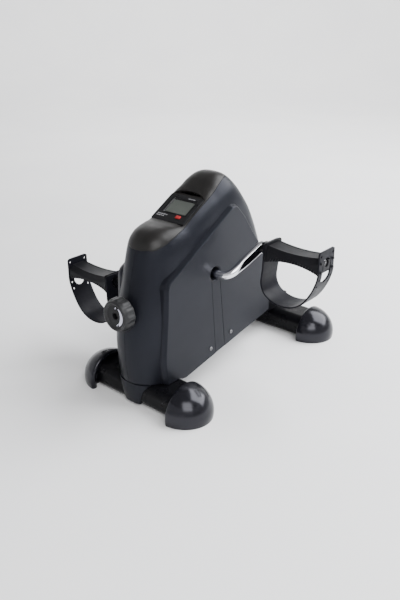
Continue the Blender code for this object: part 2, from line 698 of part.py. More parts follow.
def friction_band():
    """Felt-lined band round the back of the drum, clamped in the carriage."""
    inner = DRUM_RADIUS + BAND_SLACK
    centre = (HUB_Y, HUB_Z)
    upper_end = (SLIDE_Y + 0.0075, KNOB_Z + 0.0085)
    lower_end = (SLIDE_Y + 0.0075, KNOB_Z - 0.0085)
    high = tangent_angle(centre, inner, upper_end, 1)
    low = tangent_angle(centre, inner, lower_end, -1)
    inside = [upper_end] + arc(centre, inner, high, low, 32) + [lower_end]
    outer = inner + BAND_THICK
    upper_out = (upper_end[0], upper_end[1] + BAND_THICK)
    lower_out = (lower_end[0], lower_end[1] - BAND_THICK)
    outside = [upper_out] + arc(centre, outer, high, low, 32) + [lower_out]
    return prism("friction_band", inside + list(reversed(outside)), "X", -BAND_HALF, BAND_HALF, FELT)


def tangent_angle(centre, radius, point, sign):
    """Angle on a circle, in degrees, where a line from the point touches it."""
    away = Vector(point) - Vector(centre)
    facing = math.degrees(math.atan2(away.y, away.x)) % 360
    spread = math.degrees(math.acos(radius / away.length))
    angle = facing - spread if sign > 0 else facing + spread
    return angle if sign > 0 else angle - 360


def tension_carriage():
    """Threaded block that the knob's screw draws forward to tighten the band."""
    block = box("tension_carriage", (-0.0110, SLIDE_Y - 0.0070, KNOB_Z - 0.0082),
                (0.0110, SLIDE_Y + 0.0100, KNOB_Z + 0.0082), STEEL)
    cut(block, rod("carriage_thread", SCREW_RADIUS + GAP, "Y", -0.2, 0.0, (0.0, KNOB_Z), cutter=True,
                   sides=16))
    return block


# ---------------------------------------------------------------- the knob
def knob():
    """Scalloped resistance knob with a recessed face and a centre hole."""
    ring = []
    for i in range(KNOB_LOBES * 6):
        angle = 2 * math.pi * i / (KNOB_LOBES * 6)
        radius = KNOB_RADIUS - 0.0011 * (1 - math.cos(KNOB_LOBES * angle)) / 2
        ring.append((radius * math.cos(angle), KNOB_Z + radius * math.sin(angle)))
    grip = prism("tension_knob", ring, "Y", KNOB_FACE_Y + 0.0030, KNOB_BACK_Y, KNOB_GREY)
    face = rod("knob_face", 0.0222, "Y", KNOB_FACE_Y + 0.0060, KNOB_FACE_Y, (0.0, KNOB_Z), cutter=True,
               sides=36, tip=0.0200)
    join(grip, face)
    cut(grip, rod("knob_recess", 0.0045, "Y", KNOB_FACE_Y - 0.01, KNOB_FACE_Y + 0.0075, (0.0, KNOB_Z),
                  cutter=True, sides=16))
    cut(grip, rod("knob_bore", SCREW_RADIUS + GAP, "Y", KNOB_FACE_Y + 0.0073, -0.18, (0.0, KNOB_Z),
                  cutter=True, sides=16))
    screw = rod("tension_screw", SCREW_RADIUS, "Y", KNOB_FACE_Y + 0.0078, SLIDE_Y + 0.0160, (0.0, KNOB_Z),
                STEEL, sides=16)
    pivot = empty_at("knob_axis", (0.0, KNOB_BACK_Y, KNOB_Z))
    hang_on(grip, pivot)
    hang_on(screw, pivot)


# ---------------------------------------------------------------- the pedals
def pedal_outline(z, low_x, high_x):
    """Waisted block from the front: tread dips, underside arches, as (x, z)."""
    middle = (low_x + high_x) / 2
    half = (high_x - low_x) / 2
    top = []
    under = []
    for i in range(9):
        t = -1 + 2 * i / 8
        x = middle + half * t
        top.append((x, z + PEDAL_TOP - TREAD_DIP * (1 - t * t)))
        under.append((x, z + PEDAL_BOTTOM + ARCH_RISE * (1 - t * t)))
    return top + list(reversed(under))


def strap_path(z):
    """Middle line of the strap as (x, z): down inside, under, up the outside."""
    knots = [(PEDAL_IN_X - FLANGE - 0.0016, z + 0.0120), (PEDAL_IN_X - FLANGE - 0.0016, z - 0.0060),
             (0.1042, z - 0.0220), (0.1018, z - 0.0420), (0.1078, z - 0.0585),
             (0.1310, z - STRAP_DROP), (0.1570, z - 0.0655), (0.1755, z - 0.0480),
             (0.1860, z - 0.0290), (PEDAL_OUT_X + 0.0016, z - 0.0140), (PEDAL_OUT_X + 0.0016, z + 0.0185)]
    return smooth_path(knots, 4)


def ribbon(path, thickness):
    """Closed outline of a band of even thickness along an open path."""
    left = []
    right = []
    for i, spot in enumerate(path):
        before = Vector(path[max(i - 1, 0)])
        after = Vector(path[min(i + 1, len(path) - 1)])
        along = (after - before).normalized()
        side = Vector((-along.y, along.x)) * thickness / 2
        left.append(tuple(Vector(spot) + side))
        right.append(tuple(Vector(spot) - side))
    return left + list(reversed(right))


def pedal(word, side):
    """Pedal block, flange, foot strap, spindle and lock nut on one side."""
    y, z = spindle_at(side)
    pivot = empty_at(word + "_pedal_axis", (side * ARM_X, y, z))
    outline = [(side * x, h) for x, h in pedal_outline(z, PEDAL_IN_X, PEDAL_OUT_X)]
    block = prism(word + "_pedal_body", outline, "Y", y - PEDAL_HALF_Y, y + PEDAL_HALF_Y, PEDAL_BLACK)
    cut(block, rod(word + "_pedal_bore", SPINDLE_RADIUS + GAP, "X", side * 0.09, side * 0.2, (y, z),
                   cutter=True, sides=16))
    plate = rounded_box(PEDAL_HALF_Y + 0.0015, 0.0140, 0.0050, (y, z - 0.0010))
    flange = prism(word + "_pedal_flange", plate, "X", side * (PEDAL_IN_X - FLANGE),
                   side * (PEDAL_IN_X - GAP), PEDAL_BLACK)
    cut(flange, rod(word + "_flange_bore", SPINDLE_RADIUS + GAP, "X", side * 0.09, side * 0.2, (y, z),
                    cutter=True, sides=16))
    band = [(side * x, h) for x, h in ribbon(strap_path(z), STRAP_THICK)]
    strap = prism(word + "_foot_strap", band, "Y", y - STRAP_HALF_Y, y + STRAP_HALF_Y, STRAP_RUBBER)
    cut(strap, rod(word + "_strap_bore", 0.0078, "X", side * 0.09, side * 0.109, (y, z), cutter=True))
    cut(strap, rod(word + "_strap_cap_bore", 0.0056, "X", side * 0.18, side * 0.21, (y, z), cutter=True))
    spindle = rod(word + "_spindle", SPINDLE_RADIUS, "X", side * (ARM_X - ARM_THICK / 2 - 0.0060),
                  side * (PEDAL_OUT_X + 0.0005), (y, z), STEEL, sides=16)
    collar = rod(word + "_spindle_collar", 0.0075, "X", side * (ARM_X + 0.0100), side * 0.1038,
                 (y, z), BLACK_PAINT, sides=6)
    cut(collar, rod(word + "_collar_bore", SPINDLE_RADIUS + GAP, "X", side * 0.08, side * 0.12, (y, z),
                    cutter=True, sides=16))
    for piece in (block, flange, strap):
        hang_on(piece, pivot)
    return spindle, collar


# ---------------------------------------------------------------- small parts
def sensor_and_lead():
    """Magnet on the drum, pick-up on the upright and its lead to the monitor."""
    magnet = rod("drum_magnet", 0.0040, "X", 0.0032, 0.0080, (HUB_Y, HUB_Z + 0.0350), STEEL, sides=12)
    pickup = box("speed_sensor", (0.0120, HUB_Y - 0.0060, HUB_Z + 0.0280),
                 (0.0175, HUB_Y + 0.0060, HUB_Z + 0.0420), BLACK_PAINT)
    knots = [(0.0148, HUB_Y, HUB_Z + 0.0424), (0.0148, HUB_Y - 0.0030, HUB_Z + 0.0520),
             (0.0140, HUB_Y - 0.0120, HUB_Z + 0.0600), (0.0100, HUB_Y - 0.0220, HUB_Z + 0.0680)]
    lead = tube_along("sensor_lead", smooth_path(knots, 5), 0.0010, LEAD_BLACK, resolution=2)
    return magnet, pickup, lead


def shell_screw(name, side, y, z):
    """Pan-head screw that holds the shell."""
    head = rod(name, 0.0034, "X", side * (PANEL_HALF + GAP), side * (PANEL_HALF + 0.0018), (y, z), STEEL,
               sides=16)
    join(head, rod(name + "_shank", 0.0020, "X", side * (PANEL_HALF - 0.0080),
                   side * (PANEL_HALF + 0.0010), (y, z), cutter=True, sides=12))
    return head


def empty_at(name, spot):
    """Empty on a joint axis, for the moving pieces to hang on."""
    pivot = bpy.data.objects.new(name, None)
    pivot.location = spot
    pivot.empty_display_size = 0.01
    PARTS.objects.link(pivot)
    return pivot


def hang_on(obj, pivot):
    obj.parent = pivot
    obj.matrix_parent_inverse = Matrix.Translation(pivot.location).inverted()


def centre_on_origin():
    """Move everything that hangs on nothing else; what hangs on an empty goes with it."""
    for obj in bpy.data.objects:
        if obj.parent is None:
            obj.location.y += CENTRE_SHIFT


def main():
    for name, side in SIDES:
        shell(name + "_shell", side)
        slot_cover(name + "_slot_cover", side)
        for i, (y, z) in enumerate(SHELL_SCREWS):
            shell_screw("%s_shell_screw_%d" % (name, i + 1), side, y, z)
        for half, upper in (("upper", True), ("lower", False)):
            bearing_half("%s_bearing_%s" % (name, half), side, upper)
    console_cover()
    monitor()
    foot_cover()
    for word, side_y in (("front", -1), ("rear", 1)):
        stabiliser(word + "_tube", side_y)
        tube_bolt(word + "_tube_bolt", side_y * TUBE_Y)
        for name, side in SIDES:
            end_cap("%s_%s_cap" % (word, name), side, side_y)
    main_frame()
    crank_axis = empty_at("crank_axis", (0.0, HUB_Y, HUB_Z))
    turning = [crankshaft(), friction_drum()]
    for name, side in SIDES:
        turning += list(pedal(name, side))
    magnet, pickup, lead = sensor_and_lead()
    turning.append(magnet)
    for piece in turning:
        hang_on(piece, crank_axis)
    for name, side in SIDES:
        bpy.data.objects[name + "_pedal_axis"].parent = crank_axis
        bpy.data.objects[name + "_pedal_axis"].matrix_parent_inverse = (
            Matrix.Translation(crank_axis.location).inverted())
    friction_band()
    tension_carriage()
    knob()
    centre_on_origin()


clear_scene()
PARTS = new_collection("pedal_exerciser")
CUTTERS = new_collection("cutters")
BLACK_PLASTIC = material("black_plastic", (0.035, 0.036, 0.042), 0.45)
CAP_BLACK = material("cap_black", (0.030, 0.031, 0.036), 0.30)
BLACK_PAINT = material("black_paint", (0.015, 0.015, 0.018), 0.25)
MONITOR_BLACK = material("monitor_black", (0.012, 0.012, 0.013), 0.30)
LCD_GREEN = material("lcd_green", (0.28, 0.31, 0.27), 0.20)
BOARD_GREEN = material("board_green", (0.03, 0.16, 0.07), 0.50)
BUTTON_RED = material("button_red", (0.55, 0.03, 0.02), 0.40)
PEDAL_BLACK = material("pedal_black", (0.020, 0.020, 0.022), 0.55)
STRAP_RUBBER = material("strap_rubber", (0.045, 0.045, 0.052), 0.50)
KNOB_GREY = material("knob_grey", (0.040, 0.041, 0.045), 0.45)
NYLON = material("nylon", (0.55, 0.54, 0.50), 0.50)
FELT = material("felt", (0.20, 0.17, 0.12), 0.90)
LEAD_BLACK = material("lead_black", (0.02, 0.02, 0.02), 0.50)
CHROME = material("chrome", (0.75, 0.75, 0.77), 0.10, 1.0)
STEEL = material("steel", (0.55, 0.55, 0.56), 0.30, 1.0)
main()
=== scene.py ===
import json
import math

import bmesh
import bpy
from mathutils import Matrix, Vector


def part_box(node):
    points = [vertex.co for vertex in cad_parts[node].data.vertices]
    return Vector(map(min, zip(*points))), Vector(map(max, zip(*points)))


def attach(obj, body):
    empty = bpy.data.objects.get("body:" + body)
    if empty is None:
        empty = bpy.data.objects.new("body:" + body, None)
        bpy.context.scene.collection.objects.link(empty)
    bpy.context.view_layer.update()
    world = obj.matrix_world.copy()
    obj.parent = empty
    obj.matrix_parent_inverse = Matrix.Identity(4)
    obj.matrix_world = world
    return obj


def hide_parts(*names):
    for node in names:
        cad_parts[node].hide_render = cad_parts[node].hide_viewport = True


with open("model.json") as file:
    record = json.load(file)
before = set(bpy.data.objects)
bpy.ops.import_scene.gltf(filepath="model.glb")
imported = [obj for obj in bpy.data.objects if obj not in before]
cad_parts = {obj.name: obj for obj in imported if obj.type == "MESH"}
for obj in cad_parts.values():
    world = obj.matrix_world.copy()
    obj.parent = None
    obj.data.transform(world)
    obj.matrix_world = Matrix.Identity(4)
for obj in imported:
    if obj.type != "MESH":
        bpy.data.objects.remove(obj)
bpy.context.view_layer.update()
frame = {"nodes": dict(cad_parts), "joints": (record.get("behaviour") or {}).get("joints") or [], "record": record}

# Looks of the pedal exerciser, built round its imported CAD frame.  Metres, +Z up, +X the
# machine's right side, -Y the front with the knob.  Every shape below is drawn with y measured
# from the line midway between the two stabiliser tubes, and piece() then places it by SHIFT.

# ---------------- sizes from the frame
JOINTS = {joint["name"]: joint for joint in frame["joints"]}
FRONT_TUBE_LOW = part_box("front_tube")[0]
REAR_TUBE_LOW, REAR_TUBE_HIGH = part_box("rear_tube")
MID_Y = (FRONT_TUBE_LOW.y + REAR_TUBE_HIGH.y) / 2
SHIFT = Vector((0.0, MID_Y, 0.0))
RIGHT = 1
LEFT = -1
SIDES = (("right", RIGHT), ("left", LEFT))


def joint_spot(name):
    """Place of a hinge, with y from the middle line."""
    return Vector(JOINTS[name]["pos_m"]) - SHIFT


def node_box(name):
    """Corners of a CAD node, with y from the middle line."""
    low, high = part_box(name)
    return low - SHIFT, high - SHIFT


HUB = joint_spot("crank_spin")
HUB_MIDDLE = Vector((0.0, HUB.y, HUB.z))
SPINDLE = {RIGHT: joint_spot("right_pedal_spin"), LEFT: joint_spot("left_pedal_spin")}
KNOB = joint_spot("knob_turn")
TUBE_Y = (REAR_TUBE_LOW.y + REAR_TUBE_HIGH.y) / 2 - MID_Y
TUBE_Z = (REAR_TUBE_LOW.z + REAR_TUBE_HIGH.z) / 2
TUBE_HALF_Y = (REAR_TUBE_HIGH.y - REAR_TUBE_LOW.y) / 2
TUBE_HALF_Z = (REAR_TUBE_HIGH.z - REAR_TUBE_LOW.z) / 2
TUBE_END_X = REAR_TUBE_HIGH.x

# the display's own frame: x across, y up the slope, z out of its face
PRESS = Vector(JOINTS["button_press"]["axis"])
CASE_LOW, CASE_HIGH = node_box("monitor_case")
CASE_DEPTH = 0.0090
SLOPE = math.atan2(PRESS.y, -PRESS.z)
DISPLAY_MIDDLE = (CASE_LOW + CASE_HIGH) / 2 - PRESS * CASE_DEPTH / 2
DISPLAY = Matrix.Translation(DISPLAY_MIDDLE) @ Matrix.Rotation(SLOPE, 4, "X")
CASE_HALF_X = CASE_HIGH.x
CASE_HALF_Y = (CASE_HIGH.y - CASE_LOW.y - CASE_DEPTH * math.sin(SLOPE)) / (2 * math.cos(SLOPE))

# ---------------- sizes of the visible shapes
BODY_HALF = 0.0410       # half thickness of the body beside its raised panel
PANEL_HALF = 0.0470      # half thickness at the raised panel
WALL = 0.0028
SEAM = 0.00045           # visible gap between mouldings
SLOT_SEAM = 0.0007       # wider gap at the front of the slot's strip
FIT = 0.0003             # gap round a part that is let into another
FAR = 0.1                # past everything, for the ends of cutters
POINT = 0.00005          # radius that closes a turned shape on its axis
HUB_HOLE = 0.0098
SCREW_HOLE = 0.0024
KNOB_HOLE = 0.0062
TUBE_CORNER = 0.0125
CAP_RIM_X = 0.0697
CAP_LENGTH = 0.0432
CAP_RADIUS = 0.0396
CAP_CENTRE_Z = 0.0078
ROD_RADIUS = 0.0058
BEND_X = 0.0690
ARM_X = SPINDLE[RIGHT].x
ARM_HALF_WIDE = 0.0072
ARM_HALF_THIN = 0.0036
ARM_TIP = 0.0074         # how far the rounded tip passes the spindle's middle
PEDAL_IN_X = 0.1090
PEDAL_OUT_X = 0.1880
PEDAL_MIDDLE_X = (PEDAL_IN_X + PEDAL_OUT_X) / 2
PEDAL_HALF_X = (PEDAL_OUT_X - PEDAL_IN_X) / 2
BORE = 0.0048            # radius of the pedal's bore for its spindle
STRAP_THICK = 0.0022
STRAP_HALF_Y = 0.0190
STRAP_TOP = 0.0185       # its outer end, above the spindle
STRAP_HOLE = 0.0018
PEG_Y = 0.0142
PEG_SPOTS = [(y, z) for y in (-PEG_Y, PEG_Y) for z in (0.0035, -0.0085)]
SPARE_HOLES = [(y, z) for y in (-PEG_Y, PEG_Y) for z in (0.0125, -0.0200, -0.0300)]
KNOB_FACE_Y = -0.2100
KNOB_BACK_Y = KNOB.y
KNOB_RADIUS = 0.0230
KNOB_LOBES = 12
DISC_Y = KNOB_FACE_Y + 0.0022


# ---------------- mesh helpers
def link(obj):
    bpy.context.scene.collection.objects.link(obj)
    return obj


def mesh_of(verts, faces):
    mesh = bpy.data.meshes.new("mesh")
    mesh.from_pydata([tuple(v) for v in verts], [], faces)
    mesh.update()
    return mesh


def merged(meshes):
    """Several meshes as one, not welded."""
    body = bmesh.new()
    for mesh in meshes:
        body.from_mesh(mesh)
    mesh = bpy.data.meshes.new("merged")
    body.to_mesh(mesh)
    body.free()
    return mesh


def tidy(mesh, merge=0.00001):
    """Weld doubles and point every face outward."""
    body = bmesh.new()
    body.from_mesh(mesh)
    bmesh.ops.remove_doubles(body, verts=body.verts, dist=merge)
    bmesh.ops.dissolve_degenerate(body, edges=body.edges, dist=merge)
    bmesh.ops.recalc_face_normals(body, faces=body.faces)
    body.to_mesh(mesh)
    body.free()
    return mesh


def quads(rows, closed):
    """Faces between rows of equal length; closed joins each row's end to its start."""
    count = len(rows[0])
    faces = []
    for a in range(0, (len(rows) - 1) * count, count):
        b = a + count
        for c in range(count if closed else count - 1):
            d = (c + 1) % count
            faces.append((a + c, a + d, b + d, b + c))
    return faces


def loft(rows):
    """Solid through closed rows of points, with a flat face on the first and the last."""
    count = len(rows[0])
    last = (len(rows) - 1) * count
    faces = quads(rows, True)
    faces.append(tuple(range(count)))
    faces.append(tuple(reversed(range(last, last + count))))
    return tidy(mesh_of([point for row in rows for point in row], faces))


AXES = {
    "X": Matrix(((0, 0, 1, 0), (1, 0, 0, 0), (0, 1, 0, 0), (0, 0, 0, 1))),
    "Y": Matrix(((1, 0, 0, 0), (0, 0, -1, 0), (0, 1, 0, 0), (0, 0, 0, 1))),
    "Z": Matrix.Identity(4),
}


def prism(outline, axis, low, high):
    """Extruded outline: (y, z) pairs along X, (x, z) along Y, (x, y) along Z."""
    if axis == "Y":
        low, high = -high, -low
    mesh = loft([[(a, b, height) for a, b in outline] for height in (low, high)])
    mesh.transform(AXES[axis])
    return tidy(mesh)


def block(low, high):
    outline = [(low[0], low[1]), (high[0], low[1]), (high[0], high[1]), (low[0], high[1])]
    return prism(outline, "Z", low[2], high[2])


def ring(radius, height, steps):
    """Level circle of points."""
    turns = [2 * math.pi * i / steps for i in range(steps)]
    return [(radius * math.cos(turn), radius * math.sin(turn), height) for turn in turns]


def turned(profile, axis, centre, steps=48):
    """Solid of revolution; the profile is (distance along the axis, radius) from end to end."""
    mesh = loft([ring(radius, along, steps) for along, radius in profile])
    mesh.transform(AXES[axis])
    if axis == "Y":
        mesh.transform(Matrix.Diagonal((1.0, -1.0, 1.0, 1.0)))
    mesh.transform(Matrix.Translation(centre))
    return tidy(mesh)


def arc(centre, radius, start, end, steps):
    """Points on an arc, angles in degrees."""
    points = []
    for i in range(steps + 1):
        angle = math.radians(start + (end - start) * i / steps)
        points.append((centre[0] + radius * math.cos(angle), centre[1] + radius * math.sin(angle)))
    return points


def rounded_box(half_a, half_b, radius, centre=(0.0, 0.0), steps=8):
    """Outline of a rectangle with round corners."""
    points = []
    for quarter, (sign_a, sign_b) in enumerate(((1, 1), (-1, 1), (-1, -1), (1, -1))):
        middle = (centre[0] + sign_a * (half_a - radius), centre[1] + sign_b * (half_b - radius))
        points += arc(middle, radius, 90 * quarter, 90 * quarter + 90, steps)
    return points


def smooth_path(knots, steps):
    """Catmull-Rom curve through knots that hold any number of values each."""
    ends = [knots[0]] + list(knots) + [knots[-1]]
    points = [tuple(knots[0])]
    for i in range(len(knots) - 1):
        p0, p1, p2, p3 = ends[i:i + 4]
        for k in range(1, steps + 1):
            t = k / steps
            points.append(tuple(
                0.5 * (2 * b + (c - a) * t + (2 * a - 5 * b + 4 * c - d) * t * t
                       + (3 * b - a - 3 * c + d) * t ** 3)
                for a, b, c, d in zip(p0, p1, p2, p3)))
    return points


def round_corners(outline, radius, steps=5):
    """Replace each corner of a closed outline by a short arc-like curve."""
    count = len(outline)
    points = []
    for i in range(count):
        here = Vector(outline[i])
        before = Vector(outline[i - 1]) - here
        after = Vector(outline[(i + 1) % count]) - here
        reach = min(radius, before.length * 0.45, after.length * 0.45)
        start = here + before.normalized() * reach
        end = here + after.normalized() * reach
        for k in range(steps + 1):
            t = k / steps
            points.append(tuple(start * (1 - t) ** 2 + here * 2 * t * (1 - t) + end * t * t))
    return points


def offset_outline(outline, distance):
    """Move every side of a closed outline; positive is to the left of its direction."""
    count = len(outline)
    moved = []
    for i in range(count):
        before = (Vector(outline[i]) - Vector(outline[i - 1])).normalized()
        after = (Vector(outline[(i + 1) % count]) - Vector(outline[i])).normalized()
        side_a = Vector((-before.y, before.x))
        side_b = Vector((-after.y, after.x))
        middle = (side_a + side_b).normalized()
        moved.append(tuple(Vector(outline[i]) + middle * distance / max(0.5, middle.dot(side_a))))
    return moved


def mirror_x(mesh):
    """The same shape on the other side."""
    mesh.transform(Matrix.Diagonal((-1.0, 1.0, 1.0, 1.0)))
    mesh.flip_normals()
    return mesh


def sided(mesh, side):
    return mesh if side == RIGHT else mirror_x(mesh)


def evaluated(obj):
    """Mesh with the object's modifiers applied; the object is removed."""
    view = bpy.context.evaluated_depsgraph_get()
    mesh = bpy.data.meshes.new_from_object(obj.evaluated_get(view))
    bpy.data.objects.remove(obj)
    return mesh


def boolean(mesh, tool, operation):
    """Apply one exact Boolean to a mesh and drop the tool."""
    target = link(bpy.data.objects.new("target", mesh))
    cutter = link(bpy.data.objects.new("cutter", tool))
    step = target.modifiers.new("boolean", "BOOLEAN")
    step.operation = operation
    step.solver = "EXACT"
    step.object = cutter
    result = evaluated(target)
    bpy.data.objects.remove(cutter)
    return result


def cut(mesh, *tools):
    for tool in tools:
        mesh = boolean(mesh, tool, "DIFFERENCE")
    return mesh


def join(mesh, *others):
    for other in others:
        mesh = boolean(mesh, other, "UNION")
    return mesh


def keep(mesh, tool):
    return boolean(mesh, tool, "INTERSECT")


def thicken(mesh):
    """Give a skin its wall, inward."""
    obj = link(bpy.data.objects.new("skin", mesh))
    step = obj.modifiers.new("solidify", "SOLIDIFY")
    step.thickness = WALL
    step.offset = -1.0
    return evaluated(obj)


def bevel(mesh, width, segments=3, angle=35.0):
    obj = link(bpy.data.objects.new("sharp", mesh))
    step = obj.modifiers.new("bevel", "BEVEL")
    step.width = width
    step.segments = segments
    step.limit_method = "ANGLE"
    step.angle_limit = math.radians(angle)
    return evaluated(obj)


def piece(name, mesh, body, slot, *replaces, look=None, sharp=32.0, weighted=True):
    """Finished piece: shaded, placed in the frame, attached to its body, with the CAD nodes it replaces hidden.

    Its material is the slot's own unless look names another.
    """
    mesh.materials.clear()
    mesh.materials.append(LOOKS[look or slot])
    mesh.shade_smooth()
    mesh.set_sharp_from_angle(angle=math.radians(sharp))
    obj = link(bpy.data.objects.new(name, mesh))
    obj.location = SHIFT
    if weighted:
        step = obj.modifiers.new("weighted_normals", "WEIGHTED_NORMAL")
        step.keep_sharp = True
        step.weight = 50
    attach(obj, body)
    if replaces:
        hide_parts(*replaces)


# ---------------- materials
class Nodes:
    """Short way to build one node material."""

    def __init__(self, name):
        self.material = bpy.data.materials.new(name)
        self.material.use_nodes = True
        self.tree = self.material.node_tree
        self.shader = self.tree.nodes["Principled BSDF"]
        self.coords = self.tree.nodes.new("ShaderNodeTexCoord").outputs["Object"]
        self.relief = None

    def link(self, source, target):
        self.tree.links.new(source, target)

    def noise(self, scale, detail=3.0, roughness=0.5, stretch=None):
        node = self.tree.nodes.new("ShaderNodeTexNoise")
        node.inputs["Scale"].default_value = scale
        node.inputs["Detail"].default_value = detail
        node.inputs["Roughness"].default_value = roughness
        source = self.coords
        if stretch is not None:
            mapping = self.tree.nodes.new("ShaderNodeMapping")
            mapping.inputs["Scale"].default_value = stretch
            self.link(self.coords, mapping.inputs["Vector"])
            source = mapping.outputs["Vector"]
        self.link(source, node.inputs["Vector"])
        return node.outputs["Fac"]

    def colour(self, dark, light, source, low=0.3, high=0.7):
        """Base colour from dark to light over a stretch of a noise."""
        node = self.tree.nodes.new("ShaderNodeValToRGB")
        for element, place, shade in zip(node.color_ramp.elements, (low, high), (dark, light)):
            element.position = place
            element.color = (*shade, 1.0)
        self.link(source, node.inputs["Fac"])
        self.link(node.outputs["Color"], self.shader.inputs["Base Color"])

    def gloss(self, low, high, source):
        """Roughness between two values over the middle of a noise."""
        node = self.tree.nodes.new("ShaderNodeMapRange")
        limits = {"From Min": 0.3, "From Max": 0.7, "To Min": low, "To Max": high}
        for socket, value in limits.items():
            node.inputs[socket].default_value = value
        self.link(source, node.inputs["Value"])
        self.link(node.outputs["Result"], self.shader.inputs["Roughness"])

    def bump(self, strength, distance, source):
        """Relief from a noise, on top of the bumps given before."""
        node = self.tree.nodes.new("ShaderNodeBump")
        node.inputs["Strength"].default_value = strength
        node.inputs["Distance"].default_value = distance
        self.link(source, node.inputs["Height"])
        if self.relief:
            self.link(self.relief, node.inputs["Normal"])
        self.relief = node.outputs["Normal"]
        self.link(self.relief, self.shader.inputs["Normal"])

    def set(self, **values):
        for name, value in values.items():
            self.shader.inputs[name.replace("_", " ")].default_value = value


def moulded(name, dark, light, roughness, grain=1400.0, grain_depth=0.00004, specular=0.5,
            tint=(1.0, 1.0, 1.0)):
    """Moulded plastic: cloudy colour, uneven gloss, fine spark-eroded grain and faint scuffs."""
    look = Nodes(name)
    look.colour(dark, light, look.noise(14.0, 4.0, 0.6))
    look.gloss(roughness - 0.05, roughness + 0.05, look.noise(32.0, 5.0, 0.65))
    look.bump(0.35, grain_depth, look.noise(grain, 2.0, 0.5))
    look.bump(0.12, 0.00005, look.noise(60.0, 2.0, 0.4, (1.0, 1.0, 9.0)))
    look.set(Coat_Roughness=0.12, Specular_IOR_Level=specular, Specular_Tint=(*tint, 1.0))
    return look.material


def metal(name, dark, light, roughness, grain=(1.0, 1.0, 1.0)):
    """Bright or brushed metal with faint cloudy tarnish and fine lines."""
    look = Nodes(name)
    look.colour(dark, light, look.noise(25.0, 4.0))
    look.gloss(roughness * 0.7, roughness * 1.3, look.noise(70.0, 4.0, 0.6, grain))
    look.bump(0.15, 0.00002, look.noise(500.0, 3.0, 0.5, grain))
    look.set(Metallic=1.0)
    return look.material


def painted(name, dark, light, roughness):
    """Powder coat: orange peel under a thin clear coat."""
    look = Nodes(name)
    look.colour(dark, light, look.noise(20.0, 3.0))
    look.gloss(roughness - 0.04, roughness + 0.06, look.noise(45.0, 4.0))
    look.bump(0.25, 0.00006, look.noise(420.0, 2.0))
    look.set(Coat_Weight=0.02, Coat_Roughness=0.08, Specular_IOR_Level=0.08)
    return look.material


def rubber(name, dark, light, roughness):
    """Soft strap plastic: dull bloom, drawn lines along it and a soft sheen."""
    look = Nodes(name)
    look.colour(dark, light, look.noise(38.0, 5.0, 0.65))
    look.gloss(roughness - 0.08, roughness + 0.08, look.noise(90.0, 4.0, 0.6))
    look.bump(0.4, 0.00005, look.noise(1100.0, 3.0, 0.6))
    look.bump(0.2, 0.00008, look.noise(160.0, 2.0, 0.5, (0.3, 3.0, 0.3)))
    look.set(Sheen_Weight=0.01, Sheen_Roughness=0.4, Specular_IOR_Level=0.08)
    return look.material


def felted(name, dark, light):
    look = Nodes(name)
    look.colour(dark, light, look.noise(900.0, 5.0, 0.7), 0.35, 0.65)
    look.bump(0.9, 0.0003, look.noise(1500.0, 4.0, 0.7))
    look.set(Roughness=0.95, Sheen_Weight=0.4)
    return look.material


def screen(name, dark, light):
    """Liquid crystal under a clear sheet."""
    look = Nodes(name)
    look.colour(dark, light, look.noise(60.0, 2.0), 0.35, 0.65)
    look.gloss(0.28, 0.36, look.noise(120.0, 2.0))
    look.set(Coat_Weight=0.5, Coat_Roughness=0.05)
    return look.material


